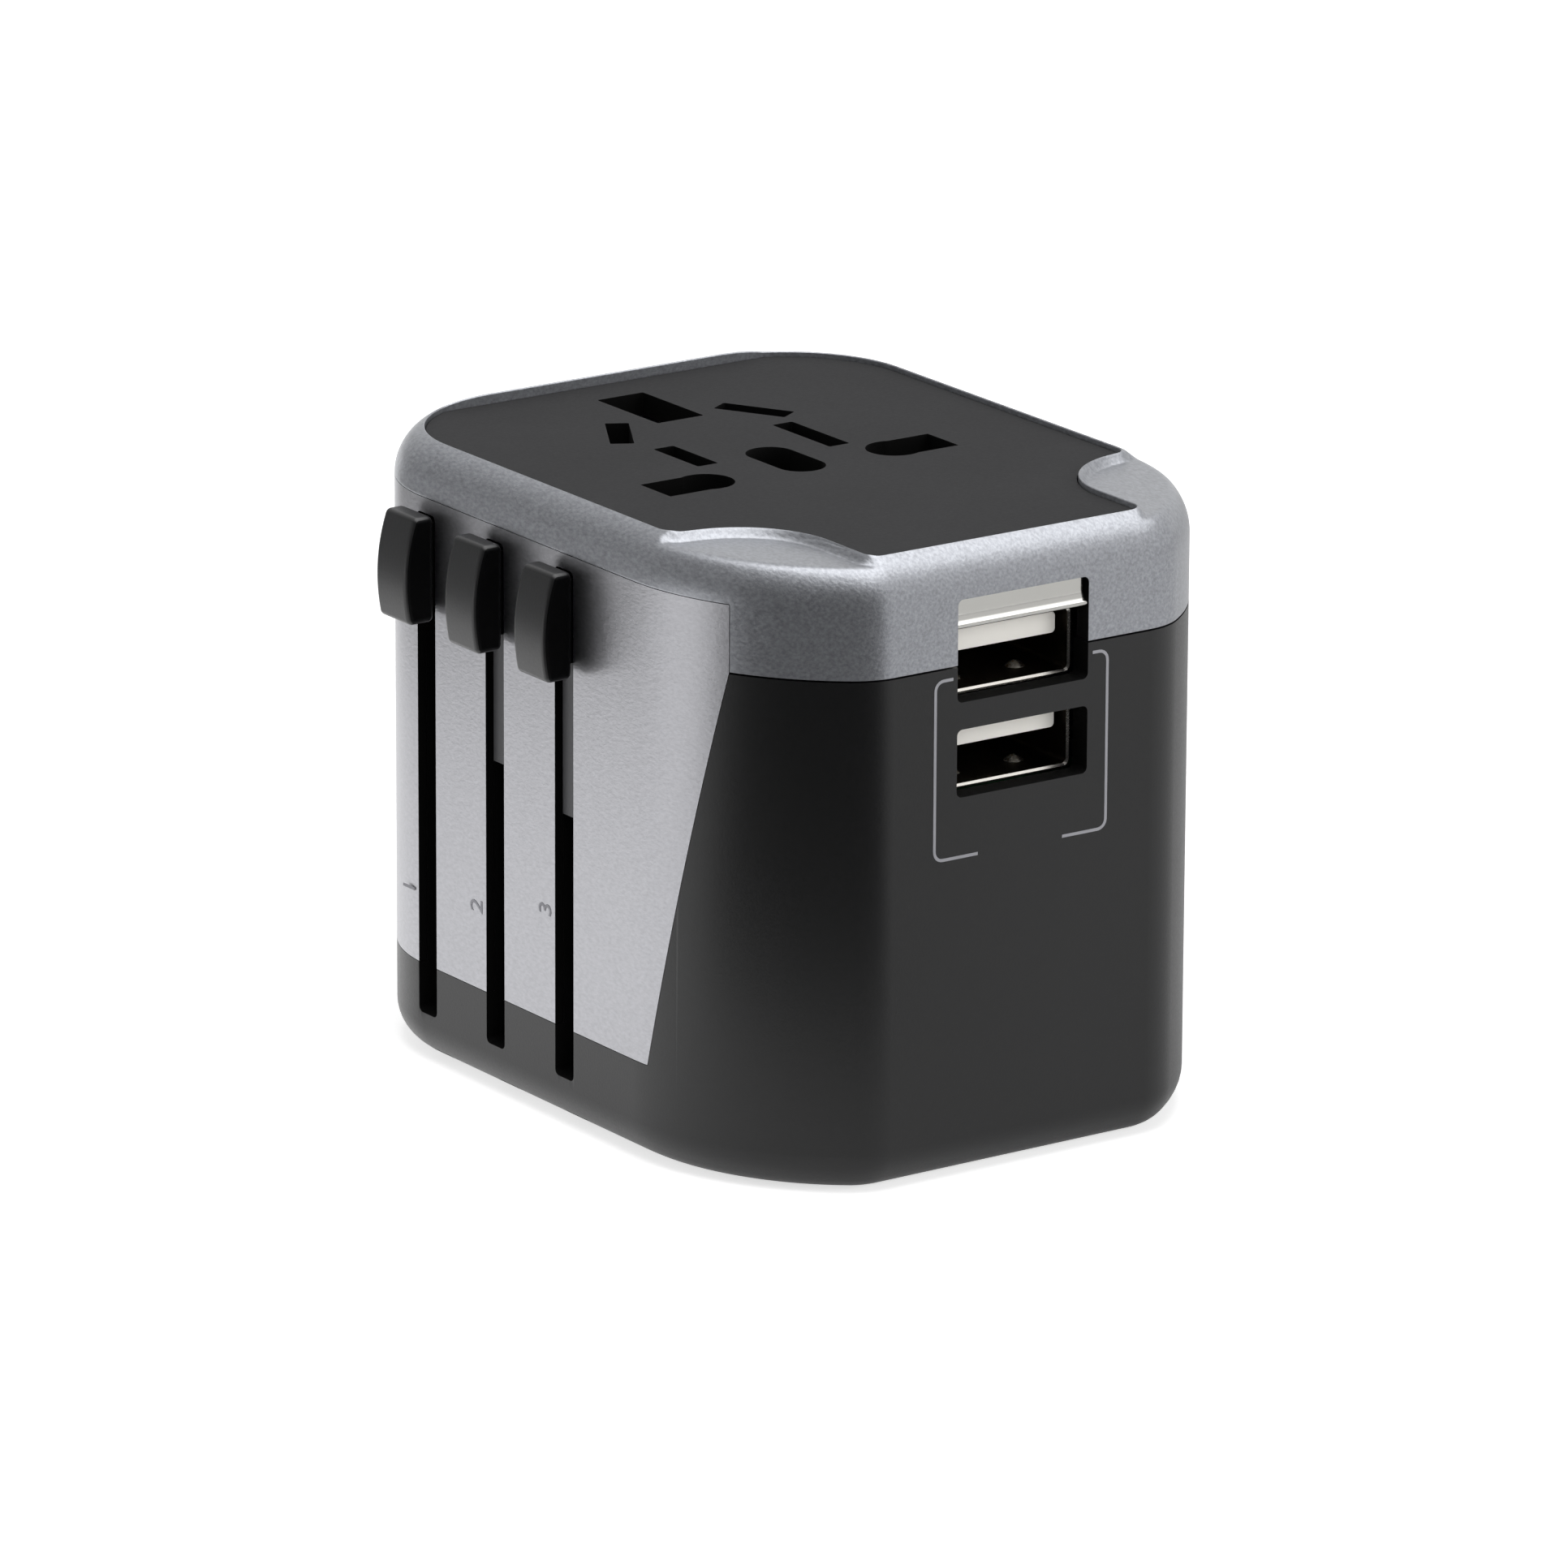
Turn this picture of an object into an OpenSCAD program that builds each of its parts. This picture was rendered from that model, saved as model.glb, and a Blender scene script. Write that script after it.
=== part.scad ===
// Universal travel adapter: socket face up, plug pins slide out through the floor.
// Sliders on the -X side, USB sockets on the -Y side, origin at the middle of the floor.

/* [Housing] */
// Width across the slider side and the plain side
body_w = 51; // [49:0.5:56]
// Depth from the USB side to the back
body_d = 64.4; // [63:0.2:70]
// Height at which the cover's rounding closes
crown_h = 54.2; // [53:0.1:58]
// Wall of the lower housing
wall = 2.0; // [1.8:0.1:2.4]
// Floor of the lower housing
floor_t = 2.2; // [1.8:0.1:2.6]
// Radius of the two back corners
back_corner_r = 14; // [10:0.5:16]
// Radius of the large arcs beside the USB side
front_arc_r = 22; // [21:0.5:24]
// Depth over which those arcs run
front_arc_d = 19; // [17:0.5:20]
// Radius that softens the edges beside the USB side
front_edge_r = 6; // [5.6:0.1:8]
// Rounding of the bottom edge
base_round = 3.5; // [2:0.1:4]

/* [Cover] */
// Rounding of the cover's top edge
cover_round = 4.7; // [4:0.1:5.2]
// Wall of the cover's skirt
cover_wall = 1.6; // [1.4:0.1:2]
// Height of the cover, from its lower edge to the crown
cover_h = 10.4; // [9.8:0.1:11.5]
// Flange under the socket plate
flange_t = 1.5; // [1.2:0.1:2]
// Scoop across, measured from the socket plate's side edge
scoop_w = 9.4; // [8.8:0.1:10]
// Scoop along, measured from the socket plate's front edge
scoop_d = 14.6; // [12:0.1:15.5]
// Inner corner radius of the scoop
scoop_r = 8.75; // [5:0.05:9]
// Depth of the scoop's floor below the crown
scoop_drop = 1.3; // [1:0.1:1.6]
// Raised lip left between scoop and socket plate
lip_w = 1.0; // [0.9:0.1:1.6]

/* [Socket plate] */
// Gap from the housing's side to the plate
plate_side = 2.65; // [2.4:0.05:3.4]
// Gap from the USB side to the plate
plate_front = 2.5; // [2.3:0.05:3.4]
// Gap from the back to the plate
plate_back = 3.7; // [2.8:0.1:4]
// Plate thickness
plate_t = 2.0; // [1.6:0.1:2.6]
// Depth of the plate's face below the crown
plate_sink = 1.0; // [0.8:0.1:1.2]
// Play round the plate
seat_gap = 0.1; // [0.05:0.05:0.2]
// Ledge under the edge of the plate
seat_ledge = 1.5; // [1:0.1:2]
// Middle of the live and neutral holes, across
socket_x = -1.3; // [-2:0.1:1]
// Middle of the live and neutral holes, along
socket_y = -2.3; // [-4:0.1:0]
// Spacing of the round-pin holes
round_pitch = 19; // [18:0.5:20]
// Radius of the round-pin holes
round_hole_r = 2.4; // [2.3:0.05:2.6]
// Outer end of the flat-pin holes, from the middle
flat_reach = 14.55; // [14.2:0.05:15]
// Height of the flat-pin holes
flat_hole_h = 4.4; // [4.2:0.1:4.8]
// Distance from the live-neutral line to the earth hole
earth_pitch = 22.2; // [21.5:0.1:23]
// Width of the earth hole
earth_hole_w = 4.65; // [4.5:0.05:5]
// Length of the earth hole
earth_hole_l = 9.1; // [8.6:0.1:9.6]
// Spacing of the two parallel blade slots
blade_pitch = 12.7; // [12.4:0.1:13]
// Width of a blade slot
blade_slot_w = 2.0; // [1.8:0.1:2.2]
// Length of the narrow blade slot
blade_slot_l = 6.6; // [6.4:0.1:7]
// Length of the wide blade slot
wide_slot_l = 8.4; // [8:0.1:8.8]
// Spacing of the two angled slots
angled_pitch = 13.7; // [13.4:0.1:14]

/* [Sliders] */
// Distance between sliders
slider_pitch = 10.35; // [10:0.05:10.6]
// Distance from the back to the middle slider
slider_back = 25; // [24.6:0.1:25.4]
// Width of a slider's slot
slot_w = 2.75; // [2.5:0.05:3]
// Lower end of the slots above the floor's underside
slot_low = 4.3; // [4:0.1:5]
// Upper end of the slots, down from the crown
slot_drop = 6; // [5.6:0.1:6.4]
// Play between a slider's neck and its slot, each side
neck_gap = 0.3; // [0.2:0.05:0.4]
// Width of a knob
knob_w = 4.8; // [4:0.1:6]
// Height of a knob
knob_h = 9.2; // [8.4:0.1:9.4]
// Upper edge of a knob at rest, down from the crown
knob_drop = 5.6; // [5.2:0.1:6.2]
// How far a knob stands out from the side
knob_proud = 3.55; // [2.8:0.05:4]
// Gap between a knob and the side panel
knob_clear = 0.7; // [0.3:0.1:1]

/* [Side panel] */
// Panel thickness
panel_t = 0.8; // [0.6:0.1:1]
// Lower edge of the panel
panel_low = 8.7; // [7:0.1:10]
// Front corner of the panel at its lower edge, along the side
panel_foot_y = -15.25; // [-18:0.25:-12]
// Front corner of the panel level with the cover's lower edge
panel_head_y = -23.4; // [-25:0.1:-20]

/* [Plugs] */
// Gap between the three-pin carriage at rest and the contact frame above it
lift_clear = 0.7; // [0.5:0.1:1]
// Travel of the round-pin plug, short of the three-pin plug's
eu_short = 3.8; // [3:0.1:4.5]
// Travel of the blade plug, short of the three-pin plug's
us_short = 2; // [1.5:0.1:3]
// Ends of the round pins at rest, above the floor's underside
eu_tip = 1.5; // [1:0.1:2.2]
// Ends of the flat live and neutral pins at rest
uk_tip = 6.6; // [6:0.1:7]
// End of the earth pin at rest
earth_tip = 1.6; // [1:0.1:2.2]
// Ends of the blades at rest
us_tip = 5.2; // [4:0.1:6]
// Radius of a round pin
round_pin_r = 2.0; // [1.9:0.05:2.2]
// Width of a flat pin
flat_pin_w = 6.35; // [6:0.05:6.5]
// Thickness of a flat pin
flat_pin_t = 4.0; // [3.8:0.1:4.1]
// Length of the earth pin's section
earth_pin_l = 8.0; // [7.6:0.1:8.2]
// Width of a blade
blade_w = 6.35; // [6:0.05:6.5]
// Thickness of a blade
blade_t = 1.5; // [1.4:0.05:1.65]
// Angle that a blade twists through
blade_twist = 30; // [20:1:35]
// Thickness of the plug carriages
carriage_t = 3.6; // [3:0.1:3.8]
// Distance from the back to the round pins
eu_back = 14.65; // [14:0.05:15]
// Distance from the live-neutral line to the blades
us_pitch = 10.2; // [9.8:0.1:10.6]
// Play round a pin in the floor
pin_gap = 0.3; // [0.2:0.05:0.4]

/* [USB] */
// Width of the windows
usb_win_w = 13.1; // [12.8:0.1:14]
// Middle of the lower socket, down from the crown
usb_drop = 18.7; // [18:0.1:19.4]
// Distance between the two sockets
usb_pitch = 8.05; // [7.6:0.05:8.4]
// Height of the lower window
usb_win_h = 5.75; // [5.5:0.05:6.2]
// Upper edge of the upper window, down from the crown
usb_win_drop = 4.85; // [4.8:0.05:5.2]
// Depth of the metal shells behind the side
usb_inset = 2.3; // [2.1:0.1:3]
// Depth of the metal shell
usb_shell_d = 15.5; // [14:0.5:17]
// Opening of a socket, across
usb_mouth_w = 12.5; // [12:0.1:12.6]
// Opening of a socket, in height
usb_mouth_h = 5.12; // [5:0.01:5.3]

/* [Hidden] */
$fn = 64;

eps = 0.01;
half_w = body_w / 2;
back_y = body_d / 2;
front_y = -body_d / 2;
arc_y = front_y + front_arc_d;        // where the front arcs leave the straight sides
arc_x = half_w - front_arc_r;
corner_x = half_w - back_corner_r;
corner_y = back_y - back_corner_r;
// the softened edge is a smaller arc that touches the large arc and the USB side
edge_turn = acos((front_arc_d - front_edge_r) / (front_arc_r - front_edge_r));
edge_x = arc_x + (front_arc_r - front_edge_r) * sin(edge_turn);
edge_y = front_y + front_edge_r;
cover_z = crown_h - cover_h;          // lower edge of the cover
side_top = crown_h - cover_round;     // upper end of the plain side
plate_z = crown_h - plate_sink;       // face of the socket plate
plate_low = plate_z - plate_t;
flange_z = plate_low - flange_t;
scoop_z = crown_h - scoop_drop;
// the lip is as high as the cover's rounding where that meets the plate's side edge
lip_top = side_top + sqrt(cover_round ^ 2 - (cover_round - plate_side) ^ 2);
slit = 0.1;                           // play between fixed shells
slider_y = back_y - slider_back;
slider_ys = [slider_y + slider_pitch, slider_y, slider_y - slider_pitch];
slot_top = crown_h - slot_drop;
knob_top = crown_h - knob_drop;
knob_low = knob_top - knob_h;
usb_low_z = crown_h - usb_drop;
usb_win_top = crown_h - usb_win_drop;

// ---------- shapes shared by several pieces ----------

// Points along an arc; skip leaves out the first when the last arc ended there
function arc(centre, r, from, to, steps, skip = 0) =
    [for (i = [skip:steps]) let(a = from + (to - from) * i / steps) centre + r * [cos(a), sin(a)]];

// Plan of the housing's +X half from front to back, drawn in by a distance from the skin
function half_outline(inset) = concat(
    arc([edge_x, edge_y], front_edge_r - inset, -90, edge_turn - 90, 4),
    arc([arc_x, arc_y], front_arc_r - inset, edge_turn - 90, 0, 9, 1),
    arc([corner_x, corner_y], back_corner_r - inset, 0, 90, 12));

function outline(inset) =
    let(h = half_outline(inset), n = len(h))
    concat(h, [for (i = [n - 1:-1:0]) [-h[i][0], h[i][1]]]);

module plan(inset = 0) polygon(outline(inset));

rounding_steps = 6;

// Heights and insets of one rounded edge, from its flat side to the upright wall
function rounding(z, r, up) = r == 0 ? [[z, 0]] :
    [for (i = [0:rounding_steps]) let(a = 90 * i / rounding_steps)
        [z + up * r * (1 - cos(a)), r * (1 - sin(a))]];

function reversed(v) = [for (i = [len(v) - 1:-1:0]) v[i]];

// Housing form between two heights, lofted over the plan at each step of its roundings
module rounded_form(low, high, low_r, high_r) {
    levels = concat(rounding(low, low_r, 1), reversed(rounding(high, high_r, -1)));
    n = len(outline(0));
    points = [for (l = levels) for (p = outline(l[1])) [p[0], p[1], l[0]]];
    sides = [for (i = [0:len(levels) - 2], k = [0:n - 1])
        let(k2 = (k + 1) % n) [i * n + k, (i + 1) * n + k, (i + 1) * n + k2, i * n + k2]];
    ends = [[for (k = [0:n - 1]) k], reversed([for (k = [0:n - 1]) (len(levels) - 1) * n + k])];
    polyhedron(points, concat(sides, ends));
}

// Rectangle with rounded corners, centred
module round_rect(w, d, r) {
    square([w - 2 * r, d], center = true);
    square([w, d - 2 * r], center = true);
    for (x = [-1, 1], y = [-1, 1])
        translate([x * (w / 2 - r), y * (d / 2 - r)]) circle(r = r, $fn = 32);
}

// Slot with round ends along y, centred
module stadium(w, l) {
    square([w, l - w], center = true);
    for (s = [-1, 1]) translate([0, s * (l - w) / 2]) circle(r = w / 2);
}

// Outline of the socket plate; a positive gap makes it larger
module plate_plan(gap = 0) {
    edge_x = half_w - plate_side;
    edge_front = front_y + plate_front;
    difference() {
        intersection() {
            plan(plate_side - gap);
            translate([-edge_x - gap, edge_front - gap])
                square([2 * (edge_x + gap), back_y - plate_back - edge_front + 2 * gap]);
        }
        for (s = [-1, 1]) scoop_plan(s, gap);
    }
}

// Plan of one scoop; drawn in by a distance on its two inner sides
module scoop_plan(s, inset = 0) {
    inner_x = half_w - plate_side - scoop_w + inset;
    inner_y = front_y + plate_front + scoop_d - inset;
    r = scoop_r - inset;
    out = 2 * scoop_w;
    mirror([s < 0 ? 1 : 0, 0]) {
        translate([inner_x + r, inner_y - r]) circle(r = r);
        translate([inner_x + r, inner_y - r - out]) square([out, r + out]);
        translate([inner_x, inner_y - r - out]) square([r + out, out]);
    }
}

// Live and neutral hole: a flat-pin slot that runs into a round-pin hole
module line_hole(grow = 0) {
    translate([round_pitch / 2, 0]) circle(r = round_hole_r + grow);
    translate([round_pitch / 2, -flat_hole_h / 2 - grow])
        square([flat_reach - round_pitch / 2 + grow, flat_hole_h + 2 * grow]);
}

blade_row_y = 7.6;      // parallel slots, along from the live-neutral line
angled_row_y = 16.7;    // angled slots
angled_turn = 30;
middle_hole = [4.2, 8.6, 2.15];   // width, length and place of the middle hole

// Every hole of the socket face, in plan, about the live-neutral middle
module socket_holes(grow = 0) {
    for (s = [0, 1]) mirror([s, 0]) line_hole(grow);
    translate([0, earth_pitch]) square([earth_hole_w + 2 * grow, earth_hole_l + 2 * grow], center = true);
    translate([-blade_pitch / 2, blade_row_y])
        square([blade_slot_w + 2 * grow, blade_slot_l + 2 * grow], center = true);
    translate([blade_pitch / 2, blade_row_y])
        square([blade_slot_w + 2 * grow, wide_slot_l + 2 * grow], center = true);
    for (s = [-1, 1]) translate([s * angled_pitch / 2, angled_row_y]) rotate(s * angled_turn)
        square([blade_slot_w + 2 * grow, blade_slot_l + 2 * grow], center = true);
    translate([0, middle_hole[2]]) stadium(middle_hole[0] + 2 * grow, middle_hole[1] + 2 * grow);
}

// ---------- fixed shells ----------

screw_xs = half_w - 7.1;          // screws across
screw_ys = [front_y + 10.7, back_y - 8.6];
screw_r = 1.2;
screw_head_r = 2.3;
screw_head_h = 1.6;
screw_well_r = screw_head_r + 0.2;
post_r = 2.5;
post_join = 14;         // height at which housing post and cover post meet
screw_seat = 9.5;       // height on which the screw heads bear

module at_screws() for (s = [-1, 1], y = screw_ys) translate([s * screw_xs, y, 0]) children();

panel_slant = (panel_head_y - panel_foot_y) / (cover_z - panel_low);
panel_back_foot = -13;
panel_back_head = panel_back_foot - panel_slant * (cover_z - panel_low);

// Area that the side panel covers, as a mask through the wall
module panel_mask(grow = 0) {
    intersection() {
        translate([-half_w - 1, 0, 0]) rotate([90, 0, 90]) linear_extrude(body_w) polygon([
            [panel_foot_y - grow, panel_low - grow], [panel_head_y - grow, cover_z],
            [panel_head_y - grow, side_top + grow], [back_y + 1, side_top + grow],
            [back_y + 1, panel_low - grow]
        ]);
        translate([0, back_y + 1, 0]) rotate([90, 0, 0]) linear_extrude(body_d + 2) polygon([
            [-half_w - 2, panel_low - grow - 1], [panel_back_foot + grow, panel_low - grow - 1],
            [panel_back_head + grow, cover_z], [panel_back_head + grow, side_top + grow + 1],
            [-half_w - 2, side_top + grow + 1]
        ]);
    }
}

module slider_slots(width, low, high, depth) {
    for (y = slider_ys) translate([-half_w - 1, y - width / 2, low]) cube([depth + 1, width, high - low]);
}

// Window of one USB socket through the front wall
module usb_window(low, high) {
    translate([0, front_y + usb_inset + eps, (low + high) / 2]) rotate([90, 0, 0])
        linear_extrude(usb_inset + 1) round_rect(usb_win_w, high - low, 0.5);
}

module usb_windows() {
    usb_window(usb_low_z - usb_win_h / 2, usb_low_z + usb_win_h / 2);
    usb_window(usb_low_z + usb_pitch - usb_win_h / 2, usb_win_top);
}

tongue_h = 1.1;         // height of the tongue inside the cover's skirt
tongue_t = 0.9;

module lower_housing() color("#323234") difference() {
    union() {
        difference() {
            union() {
                rounded_form(0, cover_z - slit, base_round, 0);
                // wall that goes on behind the side panel
                intersection() {
                    translate([0, 0, cover_z - 1]) linear_extrude(side_top - 0.4 - cover_z + 1)
                        plan(panel_t / 2);
                    panel_mask(-0.4);
                }
            }
            translate([0, 0, floor_t]) linear_extrude(crown_h) plan(wall);
        }
        translate([0, 0, cover_z - 3]) linear_extrude(3 + tongue_h) tongue_plan();
        at_screws() translate([0, 0, floor_t - eps]) {
            cylinder(r = post_r, h = post_join - floor_t);
            cylinder(r = screw_well_r + 1.2, h = screw_seat + 1.2 - floor_t);
        }
        for (p = frame_posts) translate([p[0], p[1], floor_t - eps])
            cylinder(r = frame_post_r, h = frame_low - floor_t + eps);
        usb_frame();
        // ledges under the circuit board
        for (x = [-12, 8]) translate([x, front_y + wall - eps, board_z - 3]) rotate([90, 0, 90])
            linear_extrude(4) polygon([[0, -3], [0, 3], [5, 3], [5, 1.8]]);
    }
    // seat of the side panel
    intersection() {
        translate([0, 0, panel_low - 1]) linear_extrude(crown_h) difference() {
            plan(-1);
            plan(panel_t + slit);
        }
        panel_mask(slit);
    }
    slider_slots(slot_w, slot_low, slot_top, wall + 1);
    usb_windows();
    at_screws() {
        translate([0, 0, -1]) cylinder(r = screw_r + 0.2, h = post_join + 2);
        translate([0, 0, -1]) cylinder(r = screw_well_r, h = screw_seat + 1);
    }
    floor_holes();
}

// Tongue that the cover's skirt goes over; the side panel's wall takes its place there
module tongue_plan() difference() {
    plan(cover_wall + slit);
    plan(wall + tongue_t);
    translate([-half_w - 1, panel_head_y - 1]) square([half_w + panel_back_head + 2, body_d]);
    translate([-shell_half_w - 0.8, front_y - 1]) square([2 * shell_half_w + 1.6, 10]);
    at_screws() circle(r = post_r + 0.3);
}

// Boss behind the windows that the metal shell stands against
module usb_frame() {
    low = usb_low_z - usb_win_h / 2 - 1.2;
    translate([-usb_win_w / 2 - 1.2, front_y + 1, low])
        cube([usb_win_w + 2.4, usb_inset - 1, cover_z - slit - low]);
}

// Openings in the floor that the pins slide through
module floor_holes() {
    translate([socket_x, 0, -1]) linear_extrude(floor_t + 2) {
        for (s = [-1, 1]) {
            translate([s * round_pitch / 2, eu_y]) circle(r = round_pin_r + pin_gap);
            translate([s * line_pin_x, socket_y])
                square([flat_pin_w + 2 * pin_gap, flat_pin_t + 2 * pin_gap], center = true);
            translate([s * blade_pitch / 2, us_y]) blade_opening(-s);
        }
        translate([0, socket_y + earth_pitch])
            square([flat_pin_t + 2 * pin_gap, earth_pin_l + 2 * pin_gap], center = true);
    }
}

// Opening that lets a blade twist, its ends on one circle; s is -1 or 1, the way it turns
module blade_opening(s) {
    half = blade_t / 2 + pin_gap;
    reach = norm([half, blade_w / 2 + pin_gap]);
    edge = asin(half / reach);
    waist = half * [1, -tan(blade_twist / 2)];
    mirror([s < 0 ? 1 : 0, 0]) polygon(concat(
        arc([0, 0], reach, 90 + edge, 90 - blade_twist - edge, 5), [waist],
        arc([0, 0], reach, -90 + edge, -90 - blade_twist - edge, 5), [-waist]
    ));
}

module side_panel() color("#a9aaae") difference() {
    intersection() {
        translate([0, 0, panel_low]) linear_extrude(side_top - panel_low) difference() {
            plan(0);
            plan(panel_t);
        }
        panel_mask();
    }
    slider_slots(slot_w, slot_low, slot_top, panel_t + 1);
}

module top_cover() color("#8d8f92") difference() {
    union() {
        difference() {
            rounded_form(cover_z, crown_h, 0, cover_round);
            translate([0, 0, cover_z - 1]) linear_extrude(flange_z - cover_z + 1) plan(cover_wall);
        }
        at_screws() translate([0, 0, post_join + slit])
            cylinder(r = post_r, h = flange_z - post_join);
    }
    // opening, and the seat of the socket plate above it
    translate([0, 0, cover_z]) linear_extrude(crown_h) plate_plan(-seat_ledge);
    translate([0, 0, plate_low - slit]) linear_extrude(crown_h) plate_plan(seat_gap);
    translate([0, 0, scoop_z]) linear_extrude(crown_h) for (s = [-1, 1]) scoop_plan(s, lip_w);
    for (m = [0, 1]) mirror([m, 0, 0]) lip_rounding();
    // the side panel and the wall behind it stand in this opening of the skirt
    intersection() {
        translate([0, 0, cover_z - 1]) linear_extrude(side_top + slit - cover_z + 1) difference() {
            plan(-1);
            plan(wall + slit);
        }
        panel_mask(slit);
    }
    usb_windows();
    at_screws() translate([0, 0, post_join - 1]) cylinder(r = screw_r, h = 12);
}

// What is taken off the lip of the +X scoop to round its top
module lip_rounding() {
    inner_x = half_w - plate_side - scoop_w;
    inner_y = front_y + plate_front + scoop_d;
    translate([inner_x + scoop_r, inner_y - scoop_r, 0]) {
        rotate([0, 0, 90]) rotate_extrude(angle = 90) lip_outside(scoop_r);
        rotate([90, 0, 0]) linear_extrude(scoop_d - scoop_r) mirror([1, 0]) lip_outside(scoop_r);
        rotate([90, 0, 90]) linear_extrude(scoop_w - scoop_r) lip_outside(scoop_r);
    }
}

// Upright section outside the lip's round top; its outer face stands at x = reach
module lip_outside(reach) {
    r = lip_w / 2;
    translate([reach - r, lip_top - r]) difference() {
        translate([-r - eps, 0]) square([lip_w + 2 * eps, 2]);
        circle(r = r);
    }
}

module socket_plate() color("#434345") difference() {
    translate([0, 0, plate_low]) linear_extrude(plate_t) plate_plan();
    translate([socket_x, socket_y, plate_low - 1]) linear_extrude(plate_t + 2) socket_holes();
}

module case_screws() color("#8a8c90") at_screws() {
    translate([0, 0, screw_seat - screw_head_h]) difference() {
        cylinder(r = screw_head_r, h = screw_head_h);
        for (a = [0, 90]) rotate(a) cube([2.6, 0.6, 1.4], center = true);
    }
    translate([0, 0, screw_seat - eps]) cylinder(r = screw_r, h = 12);
}

// ---------- socket contacts ----------

line_pin_x = 11.1;      // flat live and neutral pins, from the middle
frame_low = plate_low - 20.2;
frame_top = plate_low - 2.9;
frame_front = socket_y - 4.5;
frame_back = socket_y + earth_pitch + earth_hole_l / 2 + 1.2;
frame_waist = screw_ys[1] - 4.6;  // behind this only the earth pocket goes on
frame_neck_w = earth_hole_w + 6;
cage = [6.9, 15.4, 3.5];          // contact pocket: inner end, outer end, half height
leaf_t = 0.5;
strap_z = [frame_low + 5, frame_low + 8];
strap_x = cage[1] + 0.3;
frame_half_w = strap_x + 1.3;
wing_t = 2;
wing_x = [5.2 - half_w, half_w - 2.5];
wing_y = [-5.6, 16];
frame_post_x = [7 - half_w, screw_xs];
frame_posts = [
    [frame_post_x[0], slider_y - 5.2], [frame_post_x[0], slider_y + 5.2],
    [frame_post_x[1], -3], [frame_post_x[1], 14]
];
frame_post_r = 1.6;
blade_leaf_x = blade_pitch / 2 + blade_slot_w / 2 + 0.3;

module contact_frame() color("#d9d6cc") {
    difference() {
        union() {
            translate([socket_x - frame_half_w, frame_front, frame_low])
                cube([2 * frame_half_w, frame_waist - frame_front, frame_top - frame_low]);
            translate([socket_x - frame_neck_w / 2, frame_front, frame_low])
                cube([frame_neck_w, frame_back - frame_front, frame_top - frame_low]);
            // wings that stand on the housing's posts
            translate([wing_x[0], wing_y[0], frame_low])
                cube([wing_x[1] - wing_x[0], wing_y[1] - wing_y[0], wing_t]);
            // bed of the fuse
            translate([fuse_x - fuse_r, wing_y[0], frame_low])
                cube([2 * fuse_r, fuse_l + 1, fuse_bed - frame_low]);
        }
        translate([socket_x, socket_y, frame_low + 2]) linear_extrude(crown_h) socket_holes(0.4);
        translate([socket_x, socket_y, 0]) for (m = [0, 1]) mirror([m, 0, 0]) frame_pockets();
        translate([socket_x, socket_y + earth_pitch, frame_low - 1]) linear_extrude(crown_h)
            square([2 * (earth_half + leaf_t), earth_hole_l + 0.8], center = true);
        // feet of the rails
        for (s = [-1, 1])
            translate([socket_x + s * rail_x - rail_t / 2 - slit, rail_y[0] - slit, frame_low - 1])
                cube([rail_t + 2 * slit, rail_l + 2 * slit, 1 + rail_top - frame_low]);
    }
    // guides and stop of the shutter
    for (m = [0, 1]) translate([socket_x, socket_y, frame_top - eps]) mirror([m, 0, 0]) {
        translate([shutter_x[1] + 0.1, shutter_y[0], 0])
            cube([frame_half_w - shutter_x[1] - 0.1, shutter_y[1] - shutter_y[0], shutter_t + 0.5]);
    }
    translate([socket_x + spring_x - 1.4, socket_y + spring_end, frame_top - eps])
        cube([2.8, 1.5, shutter_t + 0.5]);
}

// Pockets for one side's contacts, about the live-neutral middle
module frame_pockets() {
    depth = crown_h;
    translate([cage[0], -cage[2], frame_low + 2]) cube([cage[1] - cage[0], 2 * cage[2], depth]);
    translate([cage[1] - eps, -cage[2], strap_z[0] - slit])
        cube([strap_x - cage[1] + leaf_t / 2 + slit, 2 * cage[2], depth]);
    translate([strap_x - leaf_t / 2 - slit, 0, strap_z[0] - slit])
        cube([leaf_t + 2 * slit, blade_row_y + 1, depth]);
    translate([blade_leaf_x - slit, blade_row_y - 0.6, strap_z[0] - slit])
        cube([strap_x - blade_leaf_x + slit, 1.2, depth]);
    translate([blade_leaf_x - slit, blade_row_y - blade_slot_l / 2, strap_z[0] - slit])
        cube([leaf_t + 2 * slit, blade_slot_l, depth]);
}

// One bent leaf, as height against distance from the pin's middle
module leaf(half) {
    t = leaf_t;
    foot = frame_low + 2.2;
    bend = frame_low + 7;
    pinch = frame_low + 11;
    tip = frame_top - 1;
    polygon([
        [half + 1, foot], [half + 1 + t, foot], [half + 1 + t, bend], [half + t, pinch],
        [half + 0.9 + t, tip], [half + 0.9, tip], [half, pinch], [half + 1, bend]
    ]);
}

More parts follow.
